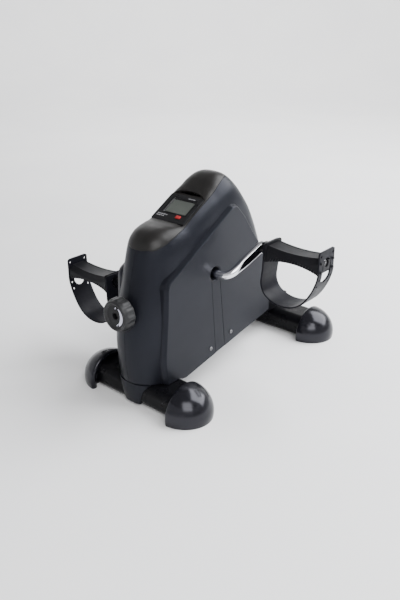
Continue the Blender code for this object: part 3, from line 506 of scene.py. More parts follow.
LOOKS = {
    "black_plastic": moulded("shell_plastic", (0.0062, 0.0066, 0.0092), (0.0086, 0.0092, 0.0125), 0.34,
                             specular=0.17, tint=(0.82, 0.86, 1.0)),
    "cover_plastic": moulded("cover_plastic", (0.0085, 0.0080, 0.0080), (0.0115, 0.0105, 0.0100), 0.38,
                             specular=0.24),
    "cap_black": moulded("cap_plastic", (0.0035, 0.0035, 0.0050), (0.0058, 0.0058, 0.0078), 0.20,
                         specular=0.38, tint=(0.90, 0.90, 1.0)),
    "black_paint": painted("black_paint", (0.0022, 0.0022, 0.0030), (0.0040, 0.0040, 0.0050), 0.28),
    "monitor_black": moulded("monitor_plastic", (0.004, 0.004, 0.005), (0.006, 0.006, 0.007), 0.30,
                             specular=0.25),
    "lcd_green": screen("lcd_glass", (0.044, 0.050, 0.044), (0.052, 0.059, 0.052)),
    "board_green": moulded("board_green", (0.02, 0.13, 0.05), (0.03, 0.18, 0.08), 0.45),
    "button_red": moulded("button_red", (0.25, 0.008, 0.010), (0.33, 0.015, 0.015), 0.40),
    "pedal_black": moulded("pedal_plastic", (0.004, 0.004, 0.0055), (0.008, 0.008, 0.010), 0.44,
                           900.0, 0.00010, specular=0.13),
    "strap_rubber": rubber("strap_rubber", (0.0050, 0.0050, 0.0075), (0.0085, 0.0085, 0.0125), 0.42),
    "knob_grey": moulded("knob_plastic", (0.008, 0.0082, 0.009), (0.012, 0.0125, 0.0135), 0.45,
                         900.0, 0.00008, specular=0.35),
    "knob_disc": moulded("knob_disc", (0.003, 0.003, 0.004), (0.005, 0.005, 0.006), 0.42, specular=0.20),
    "mark": moulded("printed_mark", (0.55, 0.55, 0.66), (0.68, 0.68, 0.78), 0.50),
    "faint_mark": moulded("faint_mark", (0.20, 0.20, 0.21), (0.28, 0.28, 0.29), 0.50),
    "nylon": moulded("nylon", (0.48, 0.47, 0.43), (0.58, 0.57, 0.52), 0.50),
    "felt": felted("felt", (0.13, 0.10, 0.07), (0.24, 0.20, 0.15)),
    "lead_black": rubber("lead_black", (0.010, 0.010, 0.011), (0.016, 0.016, 0.018), 0.5),
    "chrome": metal("chrome", (0.80, 0.80, 0.84), (0.92, 0.92, 0.96), 0.07),
    "dark_steel": metal("dark_steel", (0.16, 0.16, 0.17), (0.28, 0.28, 0.29), 0.36),
    "steel": metal("zinc_steel", (0.42, 0.42, 0.44), (0.62, 0.62, 0.62), 0.30, (1.0, 8.0, 8.0)),
}


# ---------------- the body's surface
# Each station joins a point of the side profile to a point of the flat side's edge: profile
# (y, z), edge (y, z), and how squarely the section swells sideways between them.
NOSE_STATIONS = [
    (-0.1900, 0.0374, -0.1455, 0.0374, 2.0), (-0.1914, 0.0460, -0.1469, 0.0460, 2.0),
    (-0.1928, 0.0580, -0.1483, 0.0580, 2.0), (-0.1943, 0.0800, -0.1498, 0.0800, 2.0),
    (-0.1942, 0.1000, -0.1498, 0.1000, 2.0), (-0.1915, 0.1250, -0.1468, 0.1230, 2.0),
    (-0.1862, 0.1500, -0.1418, 0.1430, 2.0), (-0.1803, 0.1730, -0.1358, 0.1610, 2.0),
    (-0.1745, 0.1940, -0.1300, 0.1760, 2.1), (-0.1695, 0.2120, -0.1240, 0.1870, 2.2),
    (-0.1658, 0.2240, -0.1195, 0.1940, 2.3), (-0.1600, 0.2345, -0.1150, 0.1985, 2.5),
    (-0.1505, 0.2420, -0.1090, 0.2020, 2.8), (-0.1385, 0.2452, -0.1030, 0.2050, 3.3),
    (-0.1240, 0.2462, -0.0955, 0.2075, 4.3)]
TOP_STATIONS = [
    (-0.1081, 0.2469, -0.0879, 0.2099, 6.0), (-0.0863, 0.2587, -0.0661, 0.2219, 7.0),
    (-0.0645, 0.2712, -0.0460, 0.2330, 6.0), (-0.0500, 0.2822, -0.0365, 0.2400, 3.8),
    (-0.0370, 0.2920, -0.0275, 0.2445, 3.0), (-0.0225, 0.2972, -0.0190, 0.2465, 2.8),
    (-0.0080, 0.2952, -0.0100, 0.2462, 2.8), (0.0065, 0.2832, 0.0000, 0.2425, 3.0)]
REAR_STATIONS = [
    (0.0190, 0.2672, 0.0080, 0.2365, 3.4), (0.0335, 0.2442, 0.0175, 0.2260, 4.2),
    (0.0465, 0.2178, 0.0285, 0.2060, 4.6), (0.0590, 0.1885, 0.0400, 0.1795, 4.8),
    (0.0700, 0.1570, 0.0505, 0.1495, 4.8), (0.0782, 0.1270, 0.0587, 0.1220, 4.8),
    (0.0832, 0.1020, 0.0632, 0.0980, 4.8), (0.0850, 0.0850, 0.0650, 0.0830, 4.8),
    (0.0846, 0.0765, 0.0660, 0.0740, 4.8), (0.0825, 0.0712, 0.0668, 0.0690, 4.8),
    (0.0784, 0.0681, 0.0675, 0.0664, 4.8)]
STATIONS = smooth_path(NOSE_STATIONS + TOP_STATIONS + REAR_STATIONS, 5)
UNDERSIDE = [(-0.1250, 0.0328), (-0.1330, 0.0340), (-0.1400, 0.0372)]
SECTION_STEPS = 22


def section(station):
    """Points from the middle line out to the flat side, at one station."""
    top = Vector(station[0:2])
    edge = Vector(station[2:4])
    points = []
    for i in range(SECTION_STEPS + 1):
        angle = math.pi / 2 * i / SECTION_STEPS
        across = BODY_HALF * math.sin(angle) ** (2 / station[4])
        spot = top + (edge - top) * (1 - math.cos(angle))
        points.append((across, spot.x, spot.y))
    return points


def half_skin():
    """Outer surface of the right half, open at the middle line and underneath."""
    rows = [section(station) for station in STATIONS]
    verts = [point for row in rows for point in row]
    faces = quads(rows, False)
    flat_side = list(range(SECTION_STEPS, len(verts), SECTION_STEPS + 1))
    flat_side += range(len(verts), len(verts) + len(UNDERSIDE))
    verts += [(BODY_HALF, y, z) for y, z in UNDERSIDE]
    faces.append(tuple(flat_side))
    return tidy(mesh_of(verts, faces))


def lid_plan(grow=0.0):
    """Edge of the console cover seen from above, as (x, y)."""
    half = [(0.0000, -0.1662), (0.0080, -0.1654), (0.0152, -0.1626), (0.0224, -0.1579),
            (0.0277, -0.1507), (0.0308, -0.1415), (0.0320, -0.1299), (0.0318, -0.1185),
            (0.0306, -0.1036), (0.0303, -0.0798), (0.0301, -0.0580), (0.0289, -0.0418),
            (0.0273, -0.0301), (0.0250, -0.0205), (0.0210, -0.0110), (0.0120, 0.0010),
            (0.0000, 0.0060)]
    curve = smooth_path(half, 5)
    outline = curve + [(-x, y) for x, y in reversed(curve[1:-1])]
    return offset_outline(outline, -grow) if grow else outline


def lid_cutter(grow):
    return prism(lid_plan(grow), "Z", 0.1990, 0.3300)


def panel_edge():
    """Top edge of the raised side panel, as (y, z), from the bottom up and over to the rear."""
    corners = [(-0.1290, 0.0200), (-0.1595, 0.0200), (-0.1640, 0.0740), (-0.1580, 0.1350),
               (-0.1556, 0.1760), (-0.1520, 0.1820), (-0.0220, 0.2540), (-0.0140, 0.2530),
               (0.0040, 0.2345), (0.0185, 0.2140), (0.0310, 0.1980), (0.0435, 0.1820),
               (0.0565, 0.1500), (0.0660, 0.1180), (0.0718, 0.0850), (0.0730, 0.0500),
               (0.0730, 0.0200)]
    return round_corners(corners, 0.0090)


def panel_solid():
    """Raised panel with sloping walls and a rounded edge, right side."""
    edge = panel_edge()
    levels = [(0.0280, 0.0040), (0.0405, 0.0034), (0.0413, 0.0030), (0.0455, 0.0012), (0.0464, 0.0007),
              (0.0469, 0.0001), (PANEL_HALF, -0.0008)]
    solid = loft([[(x, y, z) for y, z in offset_outline(edge, out)] for x, out in levels])
    return keep(solid, side_limit())


def side_limit(grow=0.0):
    """Solid that no side detail leaves: the body's own profile, closed along its underside."""
    profile = [station[0:2] for station in STATIONS] + [STATIONS[-1][2:4]] + UNDERSIDE
    return prism(offset_outline(profile, grow) if grow else profile, "X", -FAR, FAR)


def slot_outline(front=0.0, rear=0.0):
    """Assembly slot from the crank hole to the bottom edge, as (y, z), each side moved in."""
    half = 0.0092
    lean = 0.0115
    flare = 0.0045
    top = HUB.z - 0.0020
    bottom = 0.0300
    return [(HUB.y - half + front, top), (HUB.y + half - rear, top),
            (HUB.y + lean + half + flare - rear, bottom), (HUB.y + lean - half + front, bottom)]


def hub_cutter(grow=0.0):
    """Crank hole with a shallow funnel round it."""
    hole = HUB_HOLE + grow
    profile = [(0.0200, hole), (PANEL_HALF - 0.0016, hole), (PANEL_HALF - 0.0009, hole + 0.0007),
               (PANEL_HALF + 0.0002, hole + 0.0030), (PANEL_HALF + 0.0040, hole + 0.0060)]
    return turned(profile, "X", (0.0, HUB.y, HUB.z))


def shell(name, side):
    """One moulded half with its raised panel, crank hole and slot."""
    skin = half_skin()
    for vert in skin.vertices:
        vert.co.x = max(vert.co.x, SEAM / 3)
    body = join(thicken(skin), panel_solid())
    slot_way = keep(prism(slot_outline(), "X", PANEL_HALF - WALL, 0.0600), side_limit(0.0100))
    body = cut(body, lid_cutter(SEAM), hub_cutter(), slot_way)
    for spot in screw_spots():
        body = cut(body, turned([(0.0300, SCREW_HOLE), (0.0600, SCREW_HOLE)], "X", (0.0, *spot), 20))
    knob_way = turned([(-0.2100, KNOB_HOLE), (-0.1600, KNOB_HOLE)], "Y", (0.0, 0.0, KNOB.z), 32)
    body = cut(body, knob_way)
    piece(name + "_shell_moulding", sided(body, side), "base", "black_plastic", name + "_shell")


def slot_strip(name, side):
    """Strip that closes the slot; its front seam shows more than its rear one."""
    strip = prism(slot_outline(SLOT_SEAM, SEAM), "X", PANEL_HALF - WALL + FIT, PANEL_HALF - 0.0001)
    strip = bevel(keep(strip, side_limit()), 0.0004, 2)
    strip = cut(strip, hub_cutter(0.0002))
    piece(name + "_slot_strip", sided(strip, side), "base", "black_plastic", name + "_slot_cover")


def screw_spots():
    """Places of the shell screws, as (y, z), from the frame."""
    spots = []
    for number in (1, 2):
        low, high = node_box("right_shell_screw_%d" % number)
        spots.append(((low.y + high.y) / 2, (low.z + high.z) / 2))
    return spots


def full_skin():
    """Outer surface of both halves in one, for the console cover."""
    right = half_skin()
    return tidy(merged([right, mirror_x(right.copy())]))


def display_prism(outline, low, high):
    """Outline in the display's plane, extruded along its normal."""
    mesh = prism(outline, "Z", low, high)
    mesh.transform(DISPLAY)
    return mesh


def console_cover():
    """Strip over the front and crest, with the arched pocket that holds the monitor."""
    cover = keep(thicken(full_skin()), lid_cutter(0.0))
    margin = 0.0012
    half = CASE_HALF_X + margin
    arch = [(half, 0.0008), (0.0240, 0.0040), (0.0160, 0.0066), (0.0060, 0.0080)]
    arch += [(-x, rise) for x, rise in reversed(arch)]
    brow = smooth_path([(x, CASE_HALF_Y + rise) for x, rise in arch], 3)
    pocket = brow + [(-half, -CASE_HALF_Y - margin), (half, -CASE_HALF_Y - margin)]
    case_way = block((-CASE_HALF_X - FIT, -CASE_HALF_Y - FIT, -0.0200),
                     (CASE_HALF_X + FIT, CASE_HALF_Y + FIT, 0.0200))
    case_way.transform(DISPLAY)
    cover = cut(cover, display_prism(pocket, -0.0020, 0.0200), case_way)
    piece("console_cover_moulding", cover, "base", "black_plastic", "console_cover", look="cover_plastic")


def tube_socket(side_y, low, high):
    """Way for a stabiliser tube, along x."""
    outline = rounded_box(TUBE_HALF_Y + FIT, TUBE_HALF_Z + FIT, TUBE_CORNER + FIT,
                          (side_y * TUBE_Y, TUBE_Z))
    return prism(outline, "X", low, high)


def foot_tongue():
    """Tongue under the nose that laps over the front tube."""
    low, high = 0.0042, 0.0366
    toe = -0.1900
    back = -0.1700
    rows = []
    for i in range(15):
        t = i / 14
        z = low + (high - low) * t
        half = 0.0145 + 0.0155 * t ** 1.5
        front = toe + 0.0030 * (1 - t) ** 2
        roundness = 0.0035 + 0.0140 * t * t
        row = []
        for a in range(-90, 91, 9):
            angle = math.radians(a)
            row.append((half * math.copysign(abs(math.sin(angle)) ** 0.8, math.sin(angle)),
                        front + roundness * (1 - math.cos(angle)), z))
        rows.append(row + [(half, back, z), (-half, back, z)])
    behind = block((-FAR, -0.1765, -0.01), (FAR, -FAR, FAR))
    tongue = cut(loft(rows), tube_socket(-1, -FAR, FAR), behind)
    piece("foot_tongue", bevel(tongue, 0.0005, 2, 50.0), "base", "black_plastic", "foot_cover")


def shell_screw(name, side, number, spot):
    """Pan head with a cross recess."""
    face = PANEL_HALF + 0.0018
    seat = PANEL_HALF + 0.0003
    profile = [(PANEL_HALF - 0.0060, 0.0018), (seat, 0.0018), (seat, 0.0028), (seat + 0.0005, 0.0029),
               (face - 0.0004, 0.0025), (face - 0.0001, 0.0020), (face, 0.0010)]
    head = turned(profile, "X", (0.0, *spot), 32)
    y, z = spot
    for half_y, half_z in ((0.0017, 0.0004), (0.0004, 0.0017)):
        head = cut(head, block((face - 0.0010, y - half_y, z - half_z),
                               (face + 0.0010, y + half_y, z + half_z)))
    piece("%s_screw_head_%d" % (name, number), sided(head, side), "base", "steel",
          "%s_shell_screw_%d" % (name, number), look="dark_steel")


# ---------------- the base
def tube(name, side_y):
    outline = rounded_box(TUBE_HALF_Y, TUBE_HALF_Z, TUBE_CORNER, (side_y * TUBE_Y, TUBE_Z), 14)
    bar = prism(outline, "X", -TUBE_END_X, TUBE_END_X)
    piece(name + "_tube_bar", bar, "base", "black_paint", name + "_tube")


def cap_profile():
    """Cap from its sunk inner face over the rolled rim to the dome's end, as (x, radius)."""
    lip = 0.0045
    lip_depth = 0.0036
    profile = [(0.0086, POINT), (0.0084, CAP_RADIUS - 0.0110), (0.0076, CAP_RADIUS - 0.0098),
               (0.0020, CAP_RADIUS - 0.0092)]
    for degrees in range(20, 91, 14):
        angle = math.radians(degrees)
        profile.append((lip_depth * (1 - math.sin(angle)), CAP_RADIUS - lip * (1 + math.cos(angle))))
    for degrees in range(10, 80, 14):
        angle = math.radians(degrees)
        profile.append((lip_depth * (1 - math.cos(angle)), CAP_RADIUS - lip * (1 - math.sin(angle))))
    for i in range(25):
        angle = math.radians(4.0 + 86.0 * i / 24)
        profile.append((CAP_LENGTH * math.sin(angle), max(CAP_RADIUS * math.cos(angle), POINT)))
    return profile


def end_cap(name, side_x, side_y):
    """Domed foot: thick rolled rim, sunk inner face round the tube, flat where it stands."""
    dome = turned(cap_profile(), "X", (0.0, 0.0, 0.0), 72)
    body = bmesh.new()
    body.from_mesh(dome)
    whole = body.verts[:] + body.edges[:] + body.faces[:]
    floor = bmesh.ops.bisect_plane(body, geom=whole, dist=0.000001, plane_co=(0.0, 0.0, -CAP_CENTRE_Z),
                                   plane_no=(0.0, 0.0, -1.0), clear_outer=True)
    rim = [item for item in floor["geom_cut"] if isinstance(item, bmesh.types.BMEdge)]
    bmesh.ops.contextual_create(body, geom=rim)
    body.to_mesh(dome)
    body.free()
    dome = bevel(tidy(dome), 0.0008, 2, 60.0)
    dome.transform(Matrix.Translation((CAP_RIM_X, side_y * TUBE_Y, CAP_CENTRE_Z)))
    dome = cut(dome, tube_socket(side_y, 0.0, TUBE_END_X + 0.0005))
    word = "%s_%s_cap" % (name, "right" if side_x == RIGHT else "left")
    piece(word + "_dome", sided(dome, side_x), "base", "cap_black", word)


# ---------------- the monitor
LCD_HALF = (0.0180, 0.0118)
LCD_AT = (0.0015, 0.0040)
BUTTON_AT = (0.0132, -0.0148)
BUTTON_HALF = (0.0038, 0.0025)


def monitor_case():
    """Case with a stepped bezel, a well for the screen and a way for the button."""
    case = display_prism(rounded_box(CASE_HALF_X, CASE_HALF_Y, 0.0015, steps=4), -CASE_DEPTH, -0.0002)
    case = bevel(case, 0.0006, 2, 60.0)
    bezel = rounded_box(LCD_HALF[0] + 0.0036, LCD_HALF[1] + 0.0034, 0.0022, LCD_AT, 5)
    groove = display_prism(bezel, -0.0009, 0.0100)
    ridge = display_prism(offset_outline(bezel, 0.0008), -0.0200, 0.0200)
    case = cut(case, cut(groove, ridge))
    rows = []
    for height, grow in ((-0.0040, FIT), (-0.0022, FIT), (0.0004, 0.0022)):
        outline = rounded_box(LCD_HALF[0] + grow, LCD_HALF[1] + grow, 0.0010, LCD_AT, 4)
        rows.append([(x, y, height) for x, y in outline])
    well = loft(rows)
    well.transform(DISPLAY)
    button_way = rounded_box(BUTTON_HALF[0] + FIT, BUTTON_HALF[1] + FIT, 0.0008, BUTTON_AT, 4)
    case = cut(case, well, display_prism(button_way, -0.0200, 0.0100))
    piece("monitor_case_front", case, "base", "monitor_black", "monitor_case")


def monitor_marks():
    """Illegible printed words: two rows beside the button and one above the screen."""
    bars = []
    for left, low, widths in ((-0.0236, -0.0152, (3.4, 1.4, 2.6, 4.2, 2.0)),
                              (-0.0232, -0.0182, (2.2, 3.6, 1.6, 2.8))):
        for width in widths:
            bars.append((left, left + width * 0.001, low, low + 0.0013))
            left += width * 0.001 + 0.0009
    bars += [(low, high, 0.0199, 0.0210)
             for low, high in ((0.0050, 0.0088), (0.0097, 0.0118), (0.0127, 0.0170))]
    marks = []
    for low_x, high_x, low_y, high_y in bars:
        middle = ((low_x + high_x) / 2, (low_y + high_y) / 2)
        outline = rounded_box((high_x - low_x) / 2, (high_y - low_y) / 2, 0.0004, middle, 2)
        marks.append(display_prism(outline, -0.0003, -0.0001))
    piece("monitor_marks", merged(marks), "base", "monitor_black", look="faint_mark", weighted=False)


def monitor():
    """Case, screen, red button and printed marks."""
    monitor_case()
    glass = display_prism(rounded_box(*LCD_HALF, 0.0006, LCD_AT, 3), -0.0036, -0.0014)
    piece("lcd_screen", bevel(glass, 0.0002, 2), "base", "lcd_green", "lcd_panel")
    key = display_prism(rounded_box(*BUTTON_HALF, 0.0007, BUTTON_AT, 4), -0.0050, 0.0011)
    piece("reset_key", bevel(key, 0.0005, 3), "reset_button", "button_red", "reset_button")
    monitor_marks()


# ---------------- the crank
def crank_line():
    """Centre line of the right half: the points, where the straight arm starts, its direction."""
    eye = SPINDLE[RIGHT]
    bend = Vector((BEND_X, HUB.y, HUB.z))
    reach = 0.0150
    along = (eye - bend).normalized()
    start = Vector((BEND_X - reach, HUB.y, HUB.z))
    end = bend + along * reach
    points = [Vector((x, HUB.y, HUB.z)) for x in (0.0, 0.0300, 0.0500)]
    for k in range(13):
        t = k / 12
        points.append(start * (1 - t) ** 2 + bend * 2 * t * (1 - t) + end * t * t)
    points += [end + (eye - end) * k / 12 for k in range(1, 13)]
    points += [eye + along * ARM_TIP * math.sin(math.pi / 2 * k / 7) for k in range(1, 8)]
    return points, end, along


def crank_rod():
    """Bent chrome rod whose round section flattens along each arm."""
    points, arm_start, along = crank_line()
    eye = SPINDLE[RIGHT]
    across = Vector((1.0, 0.0, 0.0)).cross(Vector((0.0, along.y, along.z)).normalized())
    sides = 40
    rings = []
    for i, spot in enumerate(points):
        tangent = (points[min(i + 1, len(points) - 1)] - points[max(i - 1, 0)]).normalized()
        thin = tangent.cross(across).normalized()
        flat = min(1.0, max(0.0, (spot - arm_start).dot(along) / (0.35 * (eye - arm_start).length)))
        flat = flat * flat * (3 - 2 * flat)
        half_wide = ROD_RADIUS + (ARM_HALF_WIDE - ROD_RADIUS) * flat
        half_thin = ROD_RADIUS + (ARM_HALF_THIN - ROD_RADIUS) * flat
        past = (spot - eye).dot(along)
        if past > 0:
            half_wide *= math.sqrt(max(0.0025, 1 - (past / (ARM_TIP + 0.0001)) ** 2))
        power = 2 / (2.0 + 3.0 * flat)
        row = []
        for k in range(sides):
            c, s = math.cos(2 * math.pi * k / sides), math.sin(2 * math.pi * k / sides)
            row.append(spot + across * half_wide * math.copysign(abs(c) ** power, c)
                       + thin * half_thin * math.copysign(abs(s) ** power, s))
        rings.append(row)
    # the left half is the right one mirrored through the hub's middle point
    left = [[2 * HUB_MIDDLE - row[(k + sides // 2) % sides] for k in range(sides)]
            for row in reversed(rings[1:])]
    piece("crank_rod", loft(left + rings), "crank", "chrome", "crankshaft", sharp=40.0)


def spindle_parts(name, side):
    """Spindle with a riveted inner end, and the hexagon nut and washer against the arm."""
    y, z = SPINDLE[RIGHT].y, SPINDLE[RIGHT].z
    inner = ARM_X - 0.0034
    profile = [(inner - 0.0046, 0.0010), (inner - 0.0044, 0.0026), (inner - 0.0034, 0.0038),
               (inner - 0.0020, 0.0045), (inner - 0.0001, 0.0047), (inner + 0.0010, 0.0044),
               (PEDAL_OUT_X, 0.0044), (PEDAL_OUT_X + 0.0004, 0.0040)]
    bar = turned(profile, "X", (0.0, y, z), 32)
    nut = turned([(0.0, 0.0084), (0.0004, 0.0090), (0.0062, 0.0090), (0.0066, 0.0084)], "X",
                 (ARM_X + 0.0036, y, z), 6)
    washer = turned([(0.0, 0.0078), (0.0040, 0.0078), (0.0044, 0.0074)], "X", (ARM_X + 0.0104, y, z), 40)
    if side == LEFT:
        for mesh in (bar, nut, washer):
            mesh.transform(Matrix.Translation(2 * HUB_MIDDLE) @ Matrix.Diagonal((-1, -1, -1, 1)))
            mesh.flip_normals()
    piece(name + "_spindle_bar", bar, "crank", "steel", name + "_spindle")
    piece(name + "_spindle_nut", merged([bevel(nut, 0.0005, 2), washer]), "crank", "black_paint",
          name + "_spindle_collar")


# ---------------- the pedals
def on_side(mesh, side):
    """Move a pedal piece, built for the right side about (0, 0, 0) in y and z, to its spindle."""
    if side == LEFT:
        mesh = mirror_x(mesh)
    mesh.transform(Matrix.Translation((0.0, SPINDLE[side].y, SPINDLE[side].z)))
    return mesh


def spindle_way():
    """Bore through a pedal's pieces."""
    return turned([(0.0900, BORE), (0.2100, BORE)], "X", (0.0, 0.0, 0.0), 32)


def pedal_low(t):
    """Height of the block's lower edge at t from -1, the inner end, to 1."""
    return -0.0070 - 0.0060 * t * t


def pedal_section(t):
    """Cross-section of the block at t from -1, the inner end, to 1, as (y, z)."""
    waist = 1 - t * t
    top = 0.0090 - 0.0036 * waist
    low = pedal_low(t)
    tread = 0.0140 - 0.0008 * (t + 1)
    ridge = 0.0007
    side_y = 0.0175 - 0.0010 * waist
    knots = [(0.0, top), (tread - 0.0022, top), (tread - 0.0008, top + ridge), (tread, top + ridge * 0.7),
             (tread + 0.0012, top - 0.0012), (side_y - 0.0012, top - 0.0050), (side_y, top - 0.0078),
             (side_y, low + 0.0032), (side_y - 0.0004, low + 0.0012), (side_y - 0.0018, low),
             (0.0, low)]
    half = smooth_path(knots, 3)
    return half + [(-y, z) for y, z in reversed(half[1:-1])]


def pedal_block(name, side):
    """Waisted block with ridged tread edges and a ribbed lower edge."""
    rows = []
    for i in range(57):
        t = i / 28 - 1
        rows.append([(PEDAL_MIDDLE_X + PEDAL_HALF_X * t, y, z) for y, z in pedal_section(t)])
    slits = []
    pitch = 0.0042
    lean = 0.45
    for k in range(-8, 9):
        low = pedal_low(k * pitch / PEDAL_HALF_X)
        for edge in (-1, 1):
            slit = block((-0.0007, -0.0031, -0.0030), (0.0007, 0.0031, 0.0030))
            place = (PEDAL_MIDDLE_X + k * pitch + 0.0001, edge * 0.0188, low + 0.0017)
            slit.transform(Matrix.Translation(place) @ Matrix.Rotation(lean, 4, "Y"))
            slits.append(slit)
    body = cut(loft(rows), merged(slits), spindle_way())
    piece(name + "_pedal_block", on_side(body, side), name + "_pedal", "pedal_black", name + "_pedal_body")


def pedal_flange(name, side):
    """Rounded plate at the pedal's inner end."""
    outline = rounded_box(0.0190, 0.0140, 0.0045, (0.0, -0.0010), 6)
    plate = bevel(prism(outline, "X", PEDAL_IN_X - 0.0026, PEDAL_IN_X - 0.0002), 0.0006, 2)
    piece(name + "_flange_plate", on_side(cut(plate, spindle_way()), side), name + "_pedal", "pedal_black",
          name + "_pedal_flange")


def strap_route():
    """Middle line of the strap as (x, z) from the spindle: down inside, under, up the outside."""
    inside = PEDAL_IN_X - 0.0042
    outside = PEDAL_OUT_X + 0.0016
    knots = [(inside, 0.0120), (inside, -0.0060), (0.1046, -0.0220), (0.1033, -0.0340),
             (0.1025, -0.0430), (0.1039, -0.0510), (0.1083, -0.0590), (0.1174, -0.0658),
             (0.1300, -0.0696), (0.1424, -0.0698), (0.1530, -0.0676), (0.1625, -0.0627),
             (0.1708, -0.0550), (0.1777, -0.0450), (0.1830, -0.0350), (0.1869, -0.0250),
             (outside, -0.0140), (outside, 0.0000), (outside, STRAP_TOP)]
    return [Vector((x, 0.0, z)) for x, z in smooth_path(knots, 8)]


def stadium(low, high, half):
    """Long slot with round ends, as (along, across)."""
    return arc((high - half, 0.0), half, -90, 90, 16) + arc((low + half, 0.0), half, 90, 270, 16)


def corner_loss(distance, radius):
    """How much a round corner takes off the half width, at a distance from the strap's end."""
    near = max(0.0, radius - distance) / radius
    return radius * (1 - math.sqrt(max(0.0, 1 - near ** 2)))


def flat_strap(total):
    """The strap laid flat, with its holes, as (along, across, thickness)."""
    rim = STRAP_THICK / 2
    edge = 0.0008
    steps = 150
    columns = 16
    rows = []
    for i in range(steps + 1):
        along = total * i / steps
        half = STRAP_HALF_Y - corner_loss(total - along, 0.0036) - corner_loss(along, 0.0040)
        side = [(half - edge + edge * math.cos(math.radians(a)), rim * math.sin(math.radians(a)))
                for a in range(90, -91, -30)]
        face = [(half - edge) * (1 - 2 * k / columns) for k in range(1, columns)]
        row = side + [(w, -rim) for w in face] + [(-w, -t) for w, t in side] + [(-w, rim) for w in face]
        rows.append([(along, w, t) for w, t in row])
    level = total - STRAP_TOP
    holes = [prism(stadium(level - 0.0275, level + 0.0080, 0.0098), "Z", -0.01, 0.01)]
    for y, z in PEG_SPOTS + SPARE_HOLES:
        holes.append(turned([(-0.01, STRAP_HOLE), (0.01, STRAP_HOLE)], "Z", (level + z, y, 0.0), 16))
    spindle_hole = turned([(-0.01, 0.0080), (0.01, 0.0080)], "Z", (0.0120, 0.0, 0.0), 40)
    return cut(loft(rows), merged(holes), spindle_hole)


def strap(name, side):
    """Moulded strap: cut flat with its holes, then bent along its route."""
    route = strap_route()
    steps = [after - before for before, after in zip(route, route[1:])]
    lengths = [0.0]
    for step in steps:
        lengths.append(lengths[-1] + step.length)
    headings = [step.normalized() for step in steps]
    headings = [Vector((0.0, 0.0, -1.0))] + headings + headings[-1:]
    band = flat_strap(lengths[-1])
    for vert in band.vertices:
        along, w, t = vert.co
        index = 0
        while index < len(steps) - 1 and lengths[index + 1] < along:
            index += 1
        part = (along - lengths[index]) / steps[index].length
        before, here, after = headings[index:index + 3]
        tangent = ((before + here) * (1 - part) + (here + after) * part).normalized()
        normal = Vector((-tangent.z, 0.0, tangent.x))
        vert.co = route[index] + steps[index] * part + normal * t + Vector((0.0, w, 0.0))
    piece(name + "_strap_band", on_side(tidy(band), side), name + "_pedal", "strap_rubber",
          name + "_foot_strap")


def strap_pegs(name, side):
    """Pegs on the pedal's outer end that the strap is pushed over, and the boss in its slot."""
    face = PEDAL_OUT_X - 0.0002
    profile = [(face, 0.0015), (face + 0.0034, 0.0015), (face + 0.0038, 0.0023),
               (face + 0.0047, 0.0019), (face + 0.0050, 0.0008)]
    pegs = [turned(profile, "X", (0.0, y, z), 16) for y, z in PEG_SPOTS]
    boss = prism(rounded_box(0.0086, 0.0070, 0.0024, (0.0, -0.0026), 5), "X", face, face + 0.0030)
    pegs.append(cut(bevel(boss, 0.0006, 2), spindle_way()))
    piece(name + "_strap_pegs", on_side(merged(pegs), side), name + "_pedal", "pedal_black")


# ---------------- the knob
def knob_grip():
    """Lobed grip with a bevelled face; each level is (y, radius, how deep its lobes are)."""
    back, face = KNOB_BACK_Y, KNOB_FACE_Y
    levels = [(back, 0.0207, 0.0), (back - 0.0008, 0.0221, 0.6), (back - 0.0022, KNOB_RADIUS, 1.0),
              (back - 0.0115, KNOB_RADIUS, 1.0), (back - 0.0130, KNOB_RADIUS - 0.0003, 0.9),
              (back - 0.0140, KNOB_RADIUS - 0.0010, 0.5), (back - 0.0146, 0.0213, 0.1),
              (back - 0.0166, 0.0207, 0.0), (face + 0.0006, 0.0202, 0.0), (face, 0.0192, 0.0),
              (face + 0.0001, 0.0178, 0.0), (face + 0.0006, 0.0171, 0.0), (face + 0.0020, 0.0160, 0.0),
              (DISC_Y, 0.0152, 0.0), (DISC_Y, 0.0058, 0.0), (DISC_Y + 0.0004, 0.0054, 0.0),
              (DISC_Y + 0.0054, 0.0054, 0.0)]
    lobe_depth = 0.0016
    steps = KNOB_LOBES * 14
    rows = []
    for y, radius, lobes in levels:
        row = []
        for i in range(steps):
            angle = 2 * math.pi * i / steps
            wave = abs(math.cos(KNOB_LOBES * angle / 2)) ** 1.4
            reach = radius - lobe_depth * lobes * (1 - wave)
            row.append((reach * math.cos(angle), y, KNOB.z + reach * math.sin(angle)))
        rows.append(row)
    piece("knob_grip", loft(rows), "knob", "knob_grey", "tension_knob", sharp=38.0)


def knob_disc():
    """Sunk disc, a shallow cup with a dark hole in its middle."""
    profile = [(0.0052, 2 * POINT), (0.0052, 0.0052), (0.0003, 0.0052), (0.0, 0.0060), (0.0, 0.0150),
               (-0.0003, 0.0148), (-0.0003, 0.0049), (0.0001, 0.0045), (0.0046, 0.0045),
               (0.0046, 2 * POINT)]
    disc = turned([(DISC_Y + along, radius) for along, radius in profile], "Y", (0.0, 0.0, KNOB.z), 72)
    piece("knob_disc", disc, "knob", "knob_grey", look="knob_disc")


